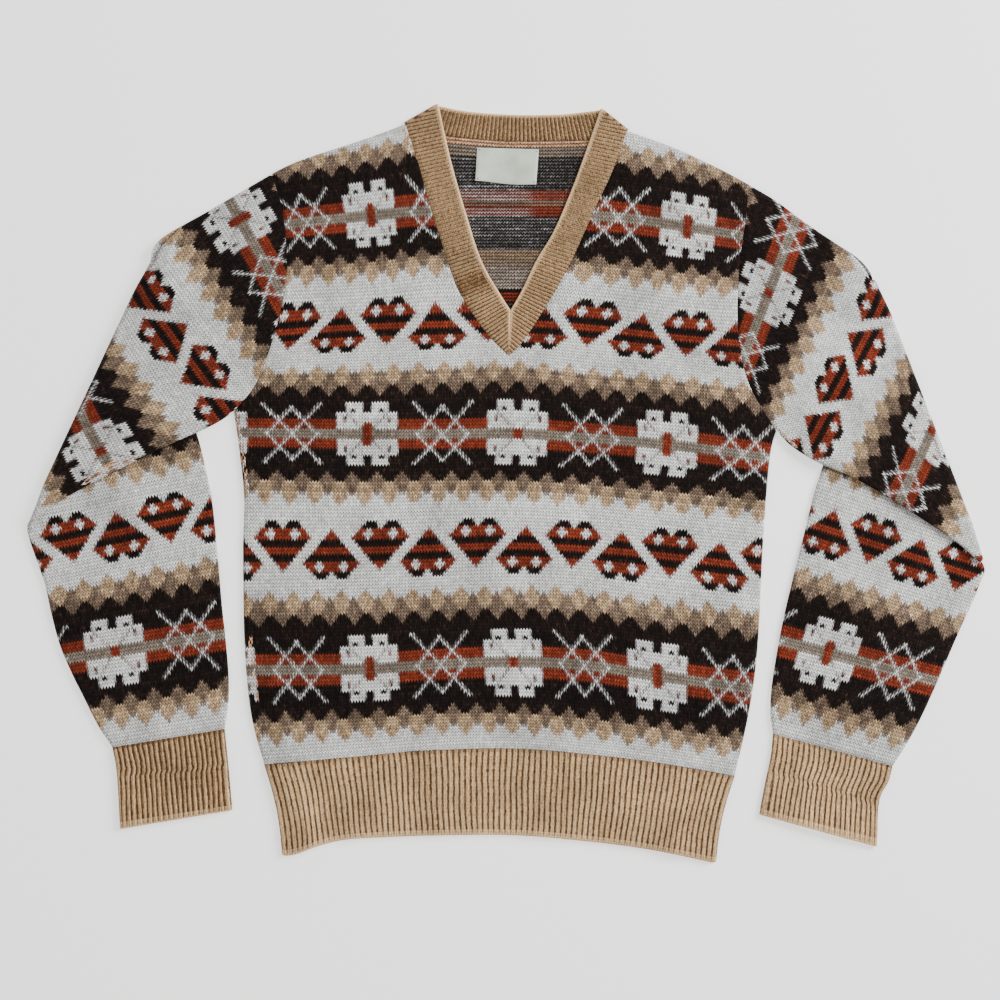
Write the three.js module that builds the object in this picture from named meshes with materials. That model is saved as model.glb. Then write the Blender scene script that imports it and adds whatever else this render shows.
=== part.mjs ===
// Fair isle jumper, laid flat with its front up and both sleeves folded down at the elbow.
// Millimetres: +Z up from the surface it lies on, +Y towards the neck, +X to the right from above.
// Each knitted piece that is sewn on is one closed solid with cloth walls.
// Left and right are as seen from above.

import * as THREE from 'three';

// Cloth
const WALL = 2.2; // the knitted cloth
const SEAM = 0.3; // gap between pieces that are sewn together, and between layers
const LAYER = WALL + SEAM; // from one layer of cloth to the next
const TUBE = WALL + LAYER; // a flattened sleeve, both layers
const RIM = 2.5; // width of the rounded rim on a free edge
const AIR = 1.8; // how far the upper cloth lifts off the lower away from its edges
const AIR_REACH = 45; // distance from an edge at which it has lifted fully
const SLEEVE_OVER = TUBE + 0.9; // height of an upper sleeve where it lies on its lower half
const FOLD_CORE = (SLEEVE_OVER - TUBE) / 2; // inner radius of the fold at the elbow
const FOLD_TURNS = [45, 90, 135]; // degrees at which a fold has a ring
const CLIMB_FROM = 60; // distance from the lower half of a sleeve at which the upper starts to climb
const CLIMB_TO = 8; // distance at which it has climbed
const RIM_SHARE = 0.55; // of the wall that is left at a rounded rim

// Ribs
const RIB_RISE = 0.9; // a rib over its furrow
const HEM_RIBS = 79; // on the front's hem
const CUFF_RIBS = 21; // on the side of a cuff that shows
const NECK_ARM_RIBS = 62; // from the point of the V to a shoulder
const NECK_BACK_RIBS = 44; // across the back of the neck

// Label
const LABEL_WALL = 1;
const LABEL_STEPS = [6, 4]; // across and down
const LABEL_CURL = 1.2; // its free corners lift this much

// Steps that neighbouring pieces share along a seam
const SIDE_STEPS = 9;
const ARMHOLE_STEPS = 12;
const VEE_STEPS = 10;
const SHOULDER_STEPS = 5;
const NECK_STEPS = 10;
const HEM_STEPS = 10; // each side of the middle, and as many on a shoulder and half the neck

// Colours seen from a step away
const COLOUR = {
  body: 0x6b5b4f,
  sleeve: 0x756558,
  rib: 0xb4946c,
  label: 0xe9e2cf,
};

// Records with named columns, from rows of numbers.
function table(columns, rows) {
  return rows.map((row) => Object.fromEntries(columns.map((name, i) => [name, row[i]])));
}

const line = (rows) => table(['x', 'y'], rows);

// The side seams, from the top of the hem rib to the armpit.
const SIDE_LEFT = line([
  [-217, -254], [-228.5, -210], [-234.5, -150], [-236, -60], [-235, -14], [-240, 34], [-244.5, 63],
]);
const SIDE_RIGHT = line([
  [206, -264.5], [219, -206], [226.5, -150], [231, -64], [234.5, -12], [238.5, 28], [243.5, 46],
]);

// The armholes, from the armpit to the shoulder.
const ARMHOLE_LEFT = line([
  [-244.5, 63], [-224.5, 88], [-208, 132], [-198, 175], [-197, 215], [-202, 250], [-210, 277],
]);
const ARMHOLE_RIGHT = line([
  [243.5, 46], [222, 81], [212, 112], [208.5, 150], [210.5, 196], [215.5, 235], [219, 267],
]);

// The shoulder seams, from the armhole to the neckband.
const SHOULDER_LEFT = line([[-210, 277], [-183, 289.5], [-128, 307.5], [-90, 321.5]]);
const SHOULDER_RIGHT = line([[219, 267], [193, 281], [152, 300], [109, 315.5]]);

// The neckband's seam and its free edge down the V, from the shoulder to the point.
const VEE_SEAM_LEFT = line([
  [-90, 321.5], [-79, 289], [-68, 248.5], [-55, 208], [-44, 175.5], [-28.5, 150], [-12, 128], [3, 114],
]);
const VEE_SEAM_RIGHT = line([
  [109, 315.5], [95, 277], [80.5, 246.5], [63.5, 208], [47.5, 176.5], [27.5, 144], [13, 123], [3, 114],
]);
const VEE_EDGE_LEFT = line([[-60, 338.5], [-49, 289], [-35, 240], [-22, 200], [-6, 171], [4.5, 154.5]]);
const VEE_EDGE_RIGHT = line([
  [85, 334.5], [74.5, 304], [60, 264.5], [43.5, 226], [27.5, 199], [15, 173], [4.5, 154.5],
]);

// The neckband's seam and its free edge across the back, from left to right.
const BACK_NECK_SEAM = line([
  [-90, 321.5], [-70, 309], [-44, 302], [6, 299.5], [58, 302], [88, 307.5], [109, 315.5],
]);
const BACK_NECK_EDGE = line([
  [-60, 338.5], [-35, 333.5], [5, 330.5], [45, 330.5], [68, 332.5], [85, 334.5],
]);

// The top and the foot of the hem rib, from left to right.
const HEM = table(['topX', 'topY', 'footX', 'footY'], [
  [-217, -254, -201, -335.5],
  [-141, -247.5, -134, -322],
  [-72.5, -241.5, -70, -317],
  [3, -239.5, 3, -316.5],
  [66, -244, 62, -321],
  [135, -252, 126, -329],
  [206, -264.5, 189.5, -342],
]);

// Rings of each sleeve. Its shoulder edge and its underarm edge are the two edges of the flattened
// tube, bow is the share of the armhole's curve that a ring keeps, and air that of AIR.
const SLEEVE_COLUMNS = ['shoulderX', 'shoulderY', 'underX', 'underY', 'bow', 'air'];

// From the armhole to the fold at the elbow.
const UPPER_LEFT = table(SLEEVE_COLUMNS, [
  [-210, 277, -244.5, 63, 1, 0],
  [-234, 263, -259, 53, 0.7, 0.8],
  [-263, 246, -280, 43, 0.4, 1],
  [-289, 231, -310, 29.5, 0.2, 1],
  [-308, 219, -350, 9.5, 0.05, 0.8],
  [-316.5, 209, -391, -12, 0, 0.4],
  [-318, 199.5, -427, -33.5, 0, 0],
]);
const UPPER_RIGHT = table(SLEEVE_COLUMNS, [
  [219, 267, 243.5, 46, 1, 0],
  [242, 253.5, 257, 32, 0.7, 0.8],
  [267, 235, 280, 17.5, 0.4, 1],
  [293, 217, 313, 3.5, 0.2, 1],
  [316, 201, 353, -20, 0.05, 0.8],
  [326, 190, 396, -48, 0, 0.4],
  [329.5, 181.5, 427.5, -71, 0, 0],
]);

// From the fold at the elbow, under the upper half, to the cuff.
const LOWER_LEFT = table(SLEEVE_COLUMNS, [
  [-306.5, 137, -430, -38, 0, 0],
  [-290, 83, -430, -44, 0, 0],
  [-277, 41.5, -428.5, -50, 0, 0],
  [-271, 19, -426, -58, 0, 0.2],
  [-264, -16, -421, -72, 0, 0.8],
  [-260, -52, -414, -93, 0, 1],
  [-257.5, -80, -408, -120, 0, 1],
  [-255, -110, -401, -146, 0, 1],
  [-251.5, -142, -391, -170, 0, 1],
  [-249, -172, -380, -192, 0, 1],
  [-249, -198, -367, -218, 0, 0.6],
  [-252.5, -222, -353.5, -238.5, 0, 0],
]);
const LOWER_RIGHT = table(SLEEVE_COLUMNS, [
  [317, 123, 431, -77, 0, 0],
  [301, 65, 430.5, -83, 0, 0],
  [285, 14, 427, -90, 0, 0],
  [277, -12, 421, -106, 0, 0.2],
  [268, -48, 413, -123, 0, 0.8],
  [258.5, -86, 404.5, -142, 0, 1],
  [250, -122, 395.5, -163, 0, 1],
  [243.5, -156, 385.5, -186, 0, 1],
  [239, -186, 373.5, -212, 0, 1],
  [238, -208, 361, -235, 0, 0.6],
  [240.5, -226.5, 348, -255.5, 0, 0],
]);

// Rings of each cuff, from the sleeve to the mouth, and how far the upper cloth stands off the lower.
const CUFF_COLUMNS = ['innerX', 'innerY', 'outerX', 'outerY', 'open'];
const CUFF_LEFT = table(CUFF_COLUMNS, [
  [-252.5, -222, -353.5, -238.5, 0],
  [-249, -256, -349.5, -262, 0.3],
  [-245.5, -295, -346.5, -312, 0.6],
]);
const CUFF_RIGHT = table(CUFF_COLUMNS, [
  [240.5, -226.5, 348, -255.5, 0],
  [238.5, -246, 344.5, -269, 0.4],
  [233.5, -270, 336, -287, 1],
  [228, -299, 334, -328, 2.5],
]);

// Corners of the label: the upper two are sewn under the back of the neckband.
const LABEL = line([[-25, 297.5], [30, 296.5], [27.5, 267], [-27.5, 271]]);

// Soft folds of the front and the sleeves: middle, length along the angle, half width, height.
const FOLDS = table(['x', 'y', 'length', 'width', 'degrees', 'height'], [
  [13, 40, 150, 14, 92, 1.2],
  [-180, -190, 110, 16, 80, 1.4],
  [-60, -170, 150, 20, 97, 0.8],
  [120, -180, 140, 18, 84, 0.9],
  [-150, 80, 120, 18, 62, 0.9],
  [165, 60, 120, 18, 118, 0.9],
  [-250, 165, 130, 16, 72, 1.6],
  [-300, 110, 120, 14, 60, 1.3],
  [262, 150, 130, 16, 104, 1.6],
  [318, 80, 120, 14, 118, 1.3],
  [-330, -90, 90, 13, 22, 1.4],
  [-300, -190, 80, 12, 14, 1.2],
  [330, -110, 90, 13, 155, 1.4],
  [300, -200, 80, 12, 160, 1.2],
]);

const lerp = THREE.MathUtils.lerp;
const at = (x, y) => new THREE.Vector2(x, y);

// A rise from 0 to 1 with soft ends.
const ease = (from, to, value) => THREE.MathUtils.smoothstep(value, from, to);

// Evenly spaced points on a smooth curve through a table's rows.
function curve(rows, steps) {
  return new THREE.SplineCurve(rows.map((row) => at(row.x, row.y))).getSpacedPoints(steps);
}

// The point at a share of the way along a drawn line, which runs straight between its points.
function along(points, share) {
  const place = THREE.MathUtils.clamp(share, 0, 1) * (points.length - 1);
  const i = Math.min(Math.floor(place), points.length - 2);
  return points[i].clone().lerp(points[i + 1], place - i);
}

// A line moved sideways, to the left of its direction.
function moved(points, distance) {
  const last = points.length - 1;
  const way = (i) => points[i + 1].clone().sub(points[i]).normalize();
  return points.map((point, i) => {
    const both = way(Math.max(i - 1, 0)).add(way(Math.min(i, last - 1)));
    const left = at(-both.y, both.x);
    return left.multiplyScalar((2 * distance) / left.lengthSq()).add(point);
  });
}

// The same line with one more point, a rim's width from its last one.
function rimmed(points) {
  const last = points.at(-1);
  const inside = points.at(-2).clone().sub(last).setLength(RIM).add(last);
  return [...points.slice(0, -1), inside, last];
}

const backwards = (points) => [...points].reverse();

// How far the folds lift the cloth at a place.
function foldHeight(x, y) {
  let height = 0;
  for (const fold of FOLDS) {
    const turn = THREE.MathUtils.degToRad(fold.degrees);
    const lengthways = (x - fold.x) * Math.cos(turn) + (y - fold.y) * Math.sin(turn);
    const across = (y - fold.y) * Math.cos(turn) - (x - fold.x) * Math.sin(turn);
    height += fold.height * Math.exp(-((across / fold.width) ** 2) - ((2 * lengthways) / fold.length) ** 4);
  }
  return height;
}

// Points and triangles that end up as one closed body.
class Body {
  constructor() {
    this.points = [];
    this.faces = [];
  }

  point(x, y, z) {
    return this.points.push([x, y, z]) - 1;
  }

  face(a, b, c) {
    this.faces.push([a, b, c]);
  }

  quad(a, b, c, d) {
    this.face(a, b, c);
    this.face(a, c, d);
  }

  // Six times the volume, below zero where the faces point in.
  volume() {
    const corner = (i) => new THREE.Vector3(...this.points[i]);
    return this.faces.reduce((sum, [a, b, c]) => sum + corner(a).dot(corner(b).cross(corner(c))), 0);
  }

  mesh(name, colour) {
    const inwards = this.volume() < 0;
    const geometry = new THREE.BufferGeometry();
    geometry.setAttribute('position', new THREE.Float32BufferAttribute(this.points.flat(), 3));
    geometry.setIndex(this.faces.flatMap(([a, b, c]) => (inwards ? [a, c, b] : [a, b, c])));
    geometry.computeVertexNormals();
    const material = new THREE.MeshStandardMaterial({ color: colour, roughness: 0.95, metalness: 0 });
    const mesh = new THREE.Mesh(geometry, material);
    mesh.name = name;
    return mesh;
  }
}

// Rows of plan points between four lines: foot and top run from left to right, and left and
// right from foot to top. Opposite lines have as many points.
function patch(foot, top, left, right) {
  return left.map((leftPoint, j) => {
    const up = j / (left.length - 1);
    return foot.map((footPoint, i) => {
      const over = i / (foot.length - 1);
      const blend = (axis) =>
        lerp(footPoint[axis], top[i][axis], up) +
        lerp(leftPoint[axis], right[j][axis], over) -
        lerp(lerp(foot[0][axis], foot.at(-1)[axis], over), lerp(top[0][axis], top.at(-1)[axis], over), up);
      return at(blend('x'), blend('y'));
    });
  });
}

// A cloth wall over one or more patches that share their common edge. The heights are functions
// of a plan point with its distance to the nearest rim.
function cloth(patches, lowerHeight, upperHeight) {
  const plan = [];
  const known = new Map();
  const index = (point) => {
    const key = `${point.x.toFixed(3)} ${point.y.toFixed(3)}`;
    if (!known.has(key)) known.set(key, plan.push({ x: point.x, y: point.y }) - 1);
    return known.get(key);
  };
  const faces = [];
  for (const rows of patches) {
    for (let j = 0; j + 1 < rows.length; j++) {
      for (let i = 0; i + 1 < rows[j].length; i++) {
        const [a, b, c, d] = [rows[j][i], rows[j][i + 1], rows[j + 1][i + 1], rows[j + 1][i]].map(index);
        faces.push([a, b, c], [a, c, d]);
      }
    }
  }
  const edges = new Set(faces.flatMap(([a, b, c]) => [`${a} ${b}`, `${b} ${c}`, `${c} ${a}`]));
  const ends = [...edges].map((edge) => edge.split(' ').map(Number));
  const rim = ends.filter(([a, b]) => !edges.has(`${b} ${a}`));
  for (const point of plan) {
    point.inside = Math.min(...rim.map(([a]) => Math.hypot(point.x - plan[a].x, point.y - plan[a].y)));
  }

  const body = new Body();
  const lower = plan.map((point) => body.point(point.x, point.y, lowerHeight(point)));
  const upper = plan.map((point) => body.point(point.x, point.y, upperHeight(point)));
  for (const [a, b, c] of faces) {
    body.face(upper[a], upper[b], upper[c]);
    body.face(lower[c], lower[b], lower[a]);
  }
  for (const [a, b] of rim) body.quad(upper[b], upper[a], lower[a], lower[b]);
  return body;
}

// How far the upper cloth stands off the lower at a distance from its rim.
const airAt = (inside) => AIR * ease(0, AIR_REACH, inside);

// The upper skin of a wall is rounded down to the rim.
const rounded = (inside) => WALL * lerp(RIM_SHARE, 1, ease(0, RIM, inside));

// The seams that several pieces share.
const sideLeft = curve(SIDE_LEFT, SIDE_STEPS);
const sideRight = curve(SIDE_RIGHT, SIDE_STEPS);
const armholeLeft = curve(ARMHOLE_LEFT, ARMHOLE_STEPS);
const armholeRight = curve(ARMHOLE_RIGHT, ARMHOLE_STEPS);
const shoulderLeft = curve(SHOULDER_LEFT, SHOULDER_STEPS);
const shoulderRight = curve(SHOULDER_RIGHT, SHOULDER_STEPS);
const veeLeft = curve(VEE_SEAM_LEFT, VEE_STEPS);
const veeRight = curve(VEE_SEAM_RIGHT, VEE_STEPS);
const backNeck = curve(BACK_NECK_SEAM, NECK_STEPS);
const hemTop = curve(HEM.map((row) => ({ x: row.topX, y: row.topY })), 2 * HEM_STEPS);
const hemFoot = curve(HEM.map((row) => ({ x: row.footX, y: row.footY })), 2 * HEM_STEPS);

// The outer lines of the body, from the hem rib up to the shoulder.
const leftLine = rimmed([...sideLeft, ...armholeLeft.slice(1)]);
const rightLine = rimmed([...sideRight, ...armholeRight.slice(1)]);

// The front panel: two halves that meet on the middle line below the V.
function frontPanel() {
  const rowsBelow = leftLine.length - 1 - (VEE_STEPS + 1);
  const middle = hemTop[HEM_STEPS];
  const point = veeLeft.at(-1);
  const middleLine = Array.from({ length: rowsBelow }, (_, j) => middle.clone().lerp(point, j / rowsBelow));
  const gapLine = (vee) => rimmed([...middleLine, ...backwards(vee)]);
  const shoulder = (rows) => curve(rows, HEM_STEPS);
  const footLeft = backwards(rimmed(backwards(hemTop.slice(0, HEM_STEPS + 1))));
  const footRight = rimmed(hemTop.slice(HEM_STEPS));
  const topLeft = backwards(rimmed(backwards(shoulder(SHOULDER_LEFT))));
  const topRight = rimmed(backwards(shoulder(SHOULDER_RIGHT)));
  const halves = [
    patch(footLeft, topLeft, leftLine, gapLine(veeLeft)),
    patch(footRight, topRight, gapLine(veeRight), rightLine),
  ];
  const lift = (p) => airAt(p.inside) + foldHeight(p.x, p.y) * ease(0, AIR_REACH / 2, p.inside);
  return cloth(halves, (p) => LAYER + lift(p), (p) => LAYER + lift(p) + rounded(p.inside));
}

// The back panel lies flat under the front, cut higher at the neck.
function backPanel() {
  const top = [...shoulderLeft, ...backNeck.slice(1), ...backwards(shoulderRight).slice(1)];
  const foot = Array.from(top, (_, i) => along(hemTop, i / (top.length - 1)));
  const panel = patch(foot, top, leftLine, rightLine);
  return cloth([panel], () => 0, () => WALL);
}

// A hem rib, hanging from the panel over it: ribs is how many it has on its upper side.
function hemRib(bottom, ribs) {
  const steps = Math.max(2 * ribs, 2 * HEM_STEPS);
  const below = (points, share) => along(points, share).add(at(0, -SEAM));
  const top = Array.from({ length: steps + 1 }, (_, i) => below(hemTop, i / steps));
  const foot = Array.from({ length: steps + 1 }, (_, i) => along(hemFoot, i / steps));
  const side = (from, to) => rimmed([from, from.clone().lerp(to, 0.5), to]);
  const rows = patch(backwards(top), backwards(foot), side(top.at(-1), foot.at(-1)), side(top[0], foot[0]));
  const onRibs = rows.slice(1, -1).flatMap((row) => row.filter((_, i) => ribs && i % 2));
  const ribbed = new Set(onRibs.map((p) => p.x));
  const raised = (p) => (ribbed.has(p.x) ? RIB_RISE : 0);
  return cloth([rows], () => bottom, (p) => bottom + rounded(p.inside) + raised(p));
}

// Places round a flattened tube: the share across from its first edge to its second, the share
// of the height through it, whether it is on a rib, and the share of the way round.
function roundTube(upperSteps, lowerSteps, ribbed = false) {
  const places = [{ across: 0, through: 0.5, edge: true, turn: 0 }];
  for (let i = 0; i <= upperSteps; i++) {
    const turn = (0.5 * (i + 1)) / (upperSteps + 2);
    places.push({ across: i / upperSteps, through: 1, rib: ribbed && i % 2 === 1, turn });
  }
  places.push({ across: 1, through: 0.5, edge: true, turn: 0.5 });
  for (let i = lowerSteps; i >= 0; i--) {
    const turn = 0.5 + (0.5 * (lowerSteps - i + 1)) / (lowerSteps + 2);
    places.push({ across: i / lowerSteps, through: 0, turn });
  }
  return places;
}

// The same inside the tube, without the edges: the two faces of the hollow.
function roundHollow(steps) {
  return roundTube(steps, steps).filter((place) => !place.edge);
}

// A share across a ring, kept clear of its edges by an inset.
function clearOfEdges(across, inset, width) {
  return THREE.MathUtils.clamp(across, inset / width, 1 - inset / width);
}

// A tube's wall: rings give the place in space of a share across and a height through the tube.
function tube(rings, outside, hollow) {
  const body = new Body();
  const skin = (places, inset, heightOf) =>
    rings.map((ring) =>
      places.map((place) => {
        const across = place.edge ? place.across : clearOfEdges(place.across, inset, ring.width);
        return body.point(...ring.place(across, heightOf(place)));
      }),
    );
  const outer = skin(outside, RIM, (place) => TUBE * place.through + (place.rib ? RIB_RISE : 0));
  const inner = skin(hollow, WALL + 1, (place) => (place.through ? LAYER : WALL));

  const wrap = (skinRings, outwards) => {
    for (let k = 0; k + 1 < skinRings.length; k++) {
      const [near, far] = outwards ? [skinRings[k], skinRings[k + 1]] : [skinRings[k + 1], skinRings[k]];
      const count = near.length;
      for (let i = 0; i < count; i++) body.quad(near[i], near[(i + 1) % count], far[(i + 1) % count], far[i]);
    }
  };
  wrap(outer, true);
  wrap(inner, false);

  // An open end is a strip between the two skins, filled by walking round both.
  const cap = (outerRing, innerRing, outwards) => {
    const put = (a, b, c) => (outwards ? body.face(a, b, c) : body.face(b, a, c));
    const turnOf = (places, i) => (i < places.length ? places[i].turn : 1);
    let a = 0;
    let b = 0;
    while (a < outside.length || b < hollow.length) {
      const outerFirst = turnOf(outside, a + 1) <= turnOf(hollow, b + 1);
      const onOuter = b >= hollow.length || (a < outside.length && outerFirst);
      const outerPoint = outerRing[a % outside.length];
      const innerPoint = innerRing[b % hollow.length];
      if (onOuter) put(outerRing[(a + 1) % outside.length], outerPoint, innerPoint);
      else put(innerPoint, innerRing[(b + 1) % hollow.length], outerPoint);
      if (onOuter) a++;
      else b++;
    }
  };
  cap(outer[0], inner[0], true);
  cap(outer.at(-1), inner.at(-1), false);
  return body;
}

// A sleeve: rings down to the elbow, round the fold there, and on under the upper half to the
// cuff. The armhole is the seam's line from the shoulder down to the armpit.
function sleeve(armhole, upperRows, lowerRows) {
  const steps = armhole.length - 1;
  const edges = (row) => [at(row.shoulderX, row.shoulderY), at(row.underX, row.underY)];
  const [shoulderEnd, underEnd] = edges(upperRows[0]);
  const fold = upperRows.at(-1);
  const [foldTop, foldFoot] = edges(fold);
  const outwards = at(foldFoot.y - foldTop.y, foldTop.x - foldFoot.x).normalize();
  if (outwards.dot(foldFoot.clone().sub(underEnd)) < 0) outwards.negate();

  // The lower half's hidden edge, over which the upper half climbs, runs from the fold to the
  // ring at which the lower half comes out.
  const comesOut = edges(lowerRows[2])[0];
  const downHidden = comesOut.clone().sub(foldTop).normalize();
  const beyondHidden = (point) => {
    const offset = point.clone().sub(foldTop);
    const sideways = offset.sub(downHidden.clone().multiplyScalar(offset.dot(downHidden)));
    return sideways.length() * Math.sign(sideways.dot(outwards));
  };
  const climb = (point) => SLEEVE_OVER * ease(-CLIMB_FROM, -CLIMB_TO, beyondHidden(point));
  const swell = (row, across, point) =>
    row.air * Math.sin(Math.PI * across) * (AIR + foldHeight(point.x, point.y));

  const ringWidth = ([from, to]) => from.distanceTo(to);
  const onChord = (row, across) => {
    const [from, to] = edges(row);
    const point = from.lerp(to, across);
    const straight = shoulderEnd.clone().lerp(underEnd, across);
    return point.add(along(armhole, across).sub(straight).multiplyScalar(row.bow));
  };
  const upper = upperRows.map((row) => ({
    width: ringWidth(edges(row)),
    place: (across, height) => {
      const point = onChord(row, across);
      const lift = height >= LAYER ? swell(row, across, point) : 0;
      return [point.x, point.y, climb(point) + height + lift];
    },
  }));
  const bend = FOLD_TURNS.map((degrees) => ({
    width: ringWidth(edges(fold)),
    place: (across, height) => {
      const radius = FOLD_CORE + height;
      const turn = THREE.MathUtils.degToRad(degrees);
      const point = onChord(fold, across).add(outwards.clone().multiplyScalar(radius * Math.sin(turn)));
      return [point.x, point.y, TUBE + FOLD_CORE + radius * Math.cos(turn)];
    },
  }));
  const lower = [{ ...fold, air: 0 }, ...lowerRows].map((row) => ({
    width: ringWidth(edges(row)),
    place: (across, height) => {
      const point = onChord(row, across);
      const lift = height <= WALL ? swell(row, across, point) : 0;
      return [point.x, point.y, TUBE - height + lift];
    },
  }));
  return tube([...upper, ...bend, ...lower], roundTube(steps, steps), roundHollow(steps / 2));
}

// A cuff, a short ribbed tube that starts one seam's gap below the sleeve.
function cuff(rows) {
  const [first, second] = rows;
  const down = at(second.innerX - first.innerX, second.innerY - first.innerY).setLength(SEAM);
  const rings = rows.map((row, k) => {
    const from = at(row.innerX, row.innerY);
    const to = at(row.outerX, row.outerY);
    if (k === 0) [from, to].forEach((end) => end.add(down));
    const place = (across, height) => {
      const point = from.clone().lerp(to, across);
      const lift = height >= LAYER ? row.open * Math.sin(Math.PI * across) : 0;
      return [point.x, point.y, height + lift];
    };
    return { width: from.distanceTo(to), place };
  });
  return tube(rings, roundTube(2 * CUFF_RIBS, 6, true), roundHollow(6));
}

// The neckband: a strip swept from the point of the V up the left side, over the shoulder fold,
// across the back of the neck, over the other fold and down to the point again.
function neckband() {
  const body = new Body();
  const roundEdge = 0.93; // the share across at which the free edge starts to round down
  const foldCore = SEAM / 2;
  const middle = LAYER - foldCore; // height of the axis that the strip folds over

  // One ring for each rib and each furrow. turn is 0 on the front and pi on the back.
  const ring = (seam, edge, turn, outwards, rib) => {
    const outerRadius = foldCore + WALL + (rib && turn === 0 ? RIB_RISE : 0);
    const innerRadius = foldCore - (rib && turn === Math.PI ? RIB_RISE : 0);
    const place = (across, radius) => {
      const point = seam.clone().lerp(edge, across);
      if (outwards) point.add(outwards.clone().multiplyScalar(radius * Math.sin(turn)));
      return body.point(point.x, point.y, middle + radius * Math.cos(turn));
    };
    return [
      place(0, outerRadius),
      place(roundEdge, outerRadius),
      place(1, foldCore + WALL / 2),
      place(roundEdge, innerRadius),
      place(0, innerRadius),
    ];
  };
  const seamGap = (points, side) => moved(points, side * SEAM);
  const arm = (seamLine, edgeLine, count, side) =>
    Array.from({ length: count + 1 }, (_, i) => {
      const share = i / count;
      const mitre = side * (SEAM / 2) * (1 - share);
      const seam = along(seamLine, share).add(at(mitre, 0));
      const edge = along(edgeLine, share).add(at(mitre, 0));
      return ring(seam, edge, 0, null, i % 2 === 1);
    });
  const fold = (seam, edge) => {
    const outwards = at(seam.y - edge.y, edge.x - seam.x).normalize();
    if (outwards.y < 0) outwards.negate();
    return FOLD_TURNS.map((degrees) => ring(seam, edge, THREE.MathUtils.degToRad(degrees), outwards, false));
  };

  const seamLeft = seamGap(backwards(veeLeft), -1);
  const seamRight = seamGap(backwards(veeRight), 1);
  for (const seam of [seamLeft, seamRight]) seam[0].y = veeLeft.at(-1).y + 2 * SEAM;
  const edgeLeft = backwards(curve(VEE_EDGE_LEFT, 2 * VEE_STEPS));
  const edgeRight = backwards(curve(VEE_EDGE_RIGHT, 2 * VEE_STEPS));
  const seamBack = seamGap(backNeck, 1);
  const edgeBack = curve(BACK_NECK_EDGE, 2 * NECK_STEPS);
  seamBack[0] = seamLeft.at(-1);
  seamBack[NECK_STEPS] = seamRight.at(-1);
  edgeBack[0] = edgeLeft.at(-1);
  edgeBack[2 * NECK_STEPS] = edgeRight.at(-1);

  const armSteps = 2 * NECK_ARM_RIBS;
  const backSteps = 2 * NECK_BACK_RIBS;
  const shows = (share) => share > 0.26 && share < 0.8; // the rest lies under the front
  const across = Array.from({ length: backSteps + 1 }, (_, i) => {
    const share = i / backSteps;
    return ring(along(seamBack, share), along(edgeBack, share), Math.PI, null, i % 2 === 1 && shows(share));
  });
  const rings = [
    ...arm(seamLeft, edgeLeft, armSteps, -1),
    ...fold(seamLeft.at(-1), edgeLeft.at(-1)),
    ...across,
    ...fold(seamRight.at(-1), edgeRight.at(-1)).reverse(),
    ...arm(seamRight, edgeRight, armSteps, 1).reverse(),
  ];
  const count = rings[0].length;
  for (let k = 0; k + 1 < rings.length; k++) {
    for (let i = 0; i < count; i++) {
      const next = (i + 1) % count;
      body.quad(rings[k][i], rings[k][next], rings[k + 1][next], rings[k + 1][i]);
    }
  }
  for (let i = 1; i + 1 < count; i++) {
    body.face(rings[0][0], rings[0][i + 1], rings[0][i]);
    body.face(rings.at(-1)[0], rings.at(-1)[i], rings.at(-1)[i + 1]);
  }
  return body;
}

// The label lies on the inside of the back panel, and its free corners lift a little.
function neckLabel() {
  const [topLeft, topRight, footRight, footLeft] = LABEL.map((corner) => at(corner.x, corner.y));
  const [over, up] = LABEL_STEPS;
  const side = (from, to, steps) =>
    Array.from({ length: steps + 1 }, (_, i) => from.clone().lerp(to, i / steps));
  const rows = patch(
    side(footLeft, footRight, over),
    side(topLeft, topRight, over),
    side(footLeft, topLeft, up),
    side(footRight, topRight, up),
  );
  const curl = (p) => {
    const down = ease(0, 1, (topLeft.y - p.y) / (topLeft.y - footLeft.y));
    const outer = Math.abs(p.x - (footLeft.x + footRight.x) / 2) / ((footRight.x - footLeft.x) / 2);
    return LABEL_CURL * down * ease(0.4, 1, outer);
  };
  return cloth([rows], (p) => LAYER + curl(p), (p) => LAYER + curl(p) + LABEL_WALL);
}

const jumper = new THREE.Group();
jumper.add(
  backPanel().mesh('back', COLOUR.body),
  frontPanel().mesh('front', COLOUR.body),
  sleeve(moved(backwards(armholeLeft), -SEAM), UPPER_LEFT, LOWER_LEFT).mesh('sleeve_left', COLOUR.sleeve),
  sleeve(moved(backwards(armholeRight), SEAM), UPPER_RIGHT, LOWER_RIGHT).mesh('sleeve_right', COLOUR.sleeve),
  hemRib(0, 0).mesh('hem_rib_back', COLOUR.rib),
  hemRib(LAYER, HEM_RIBS).mesh('hem_rib_front', COLOUR.rib),
  cuff(CUFF_LEFT).mesh('cuff_left', COLOUR.rib),
  cuff(CUFF_RIGHT).mesh('cuff_right', COLOUR.rib),
  neckband().mesh('neckband', COLOUR.rib),
  neckLabel().mesh('label', COLOUR.label),
);

// The origin is at the middle of the plan, on the surface that the jumper lies on.
const middle = new THREE.Box3().setFromObject(jumper).getCenter(new THREE.Vector3());
jumper.position.set(-middle.x, -middle.y, 0);

export default jumper;
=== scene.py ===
"""A fair isle jumper laid flat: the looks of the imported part, built round its fixed frame."""

import math

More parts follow.
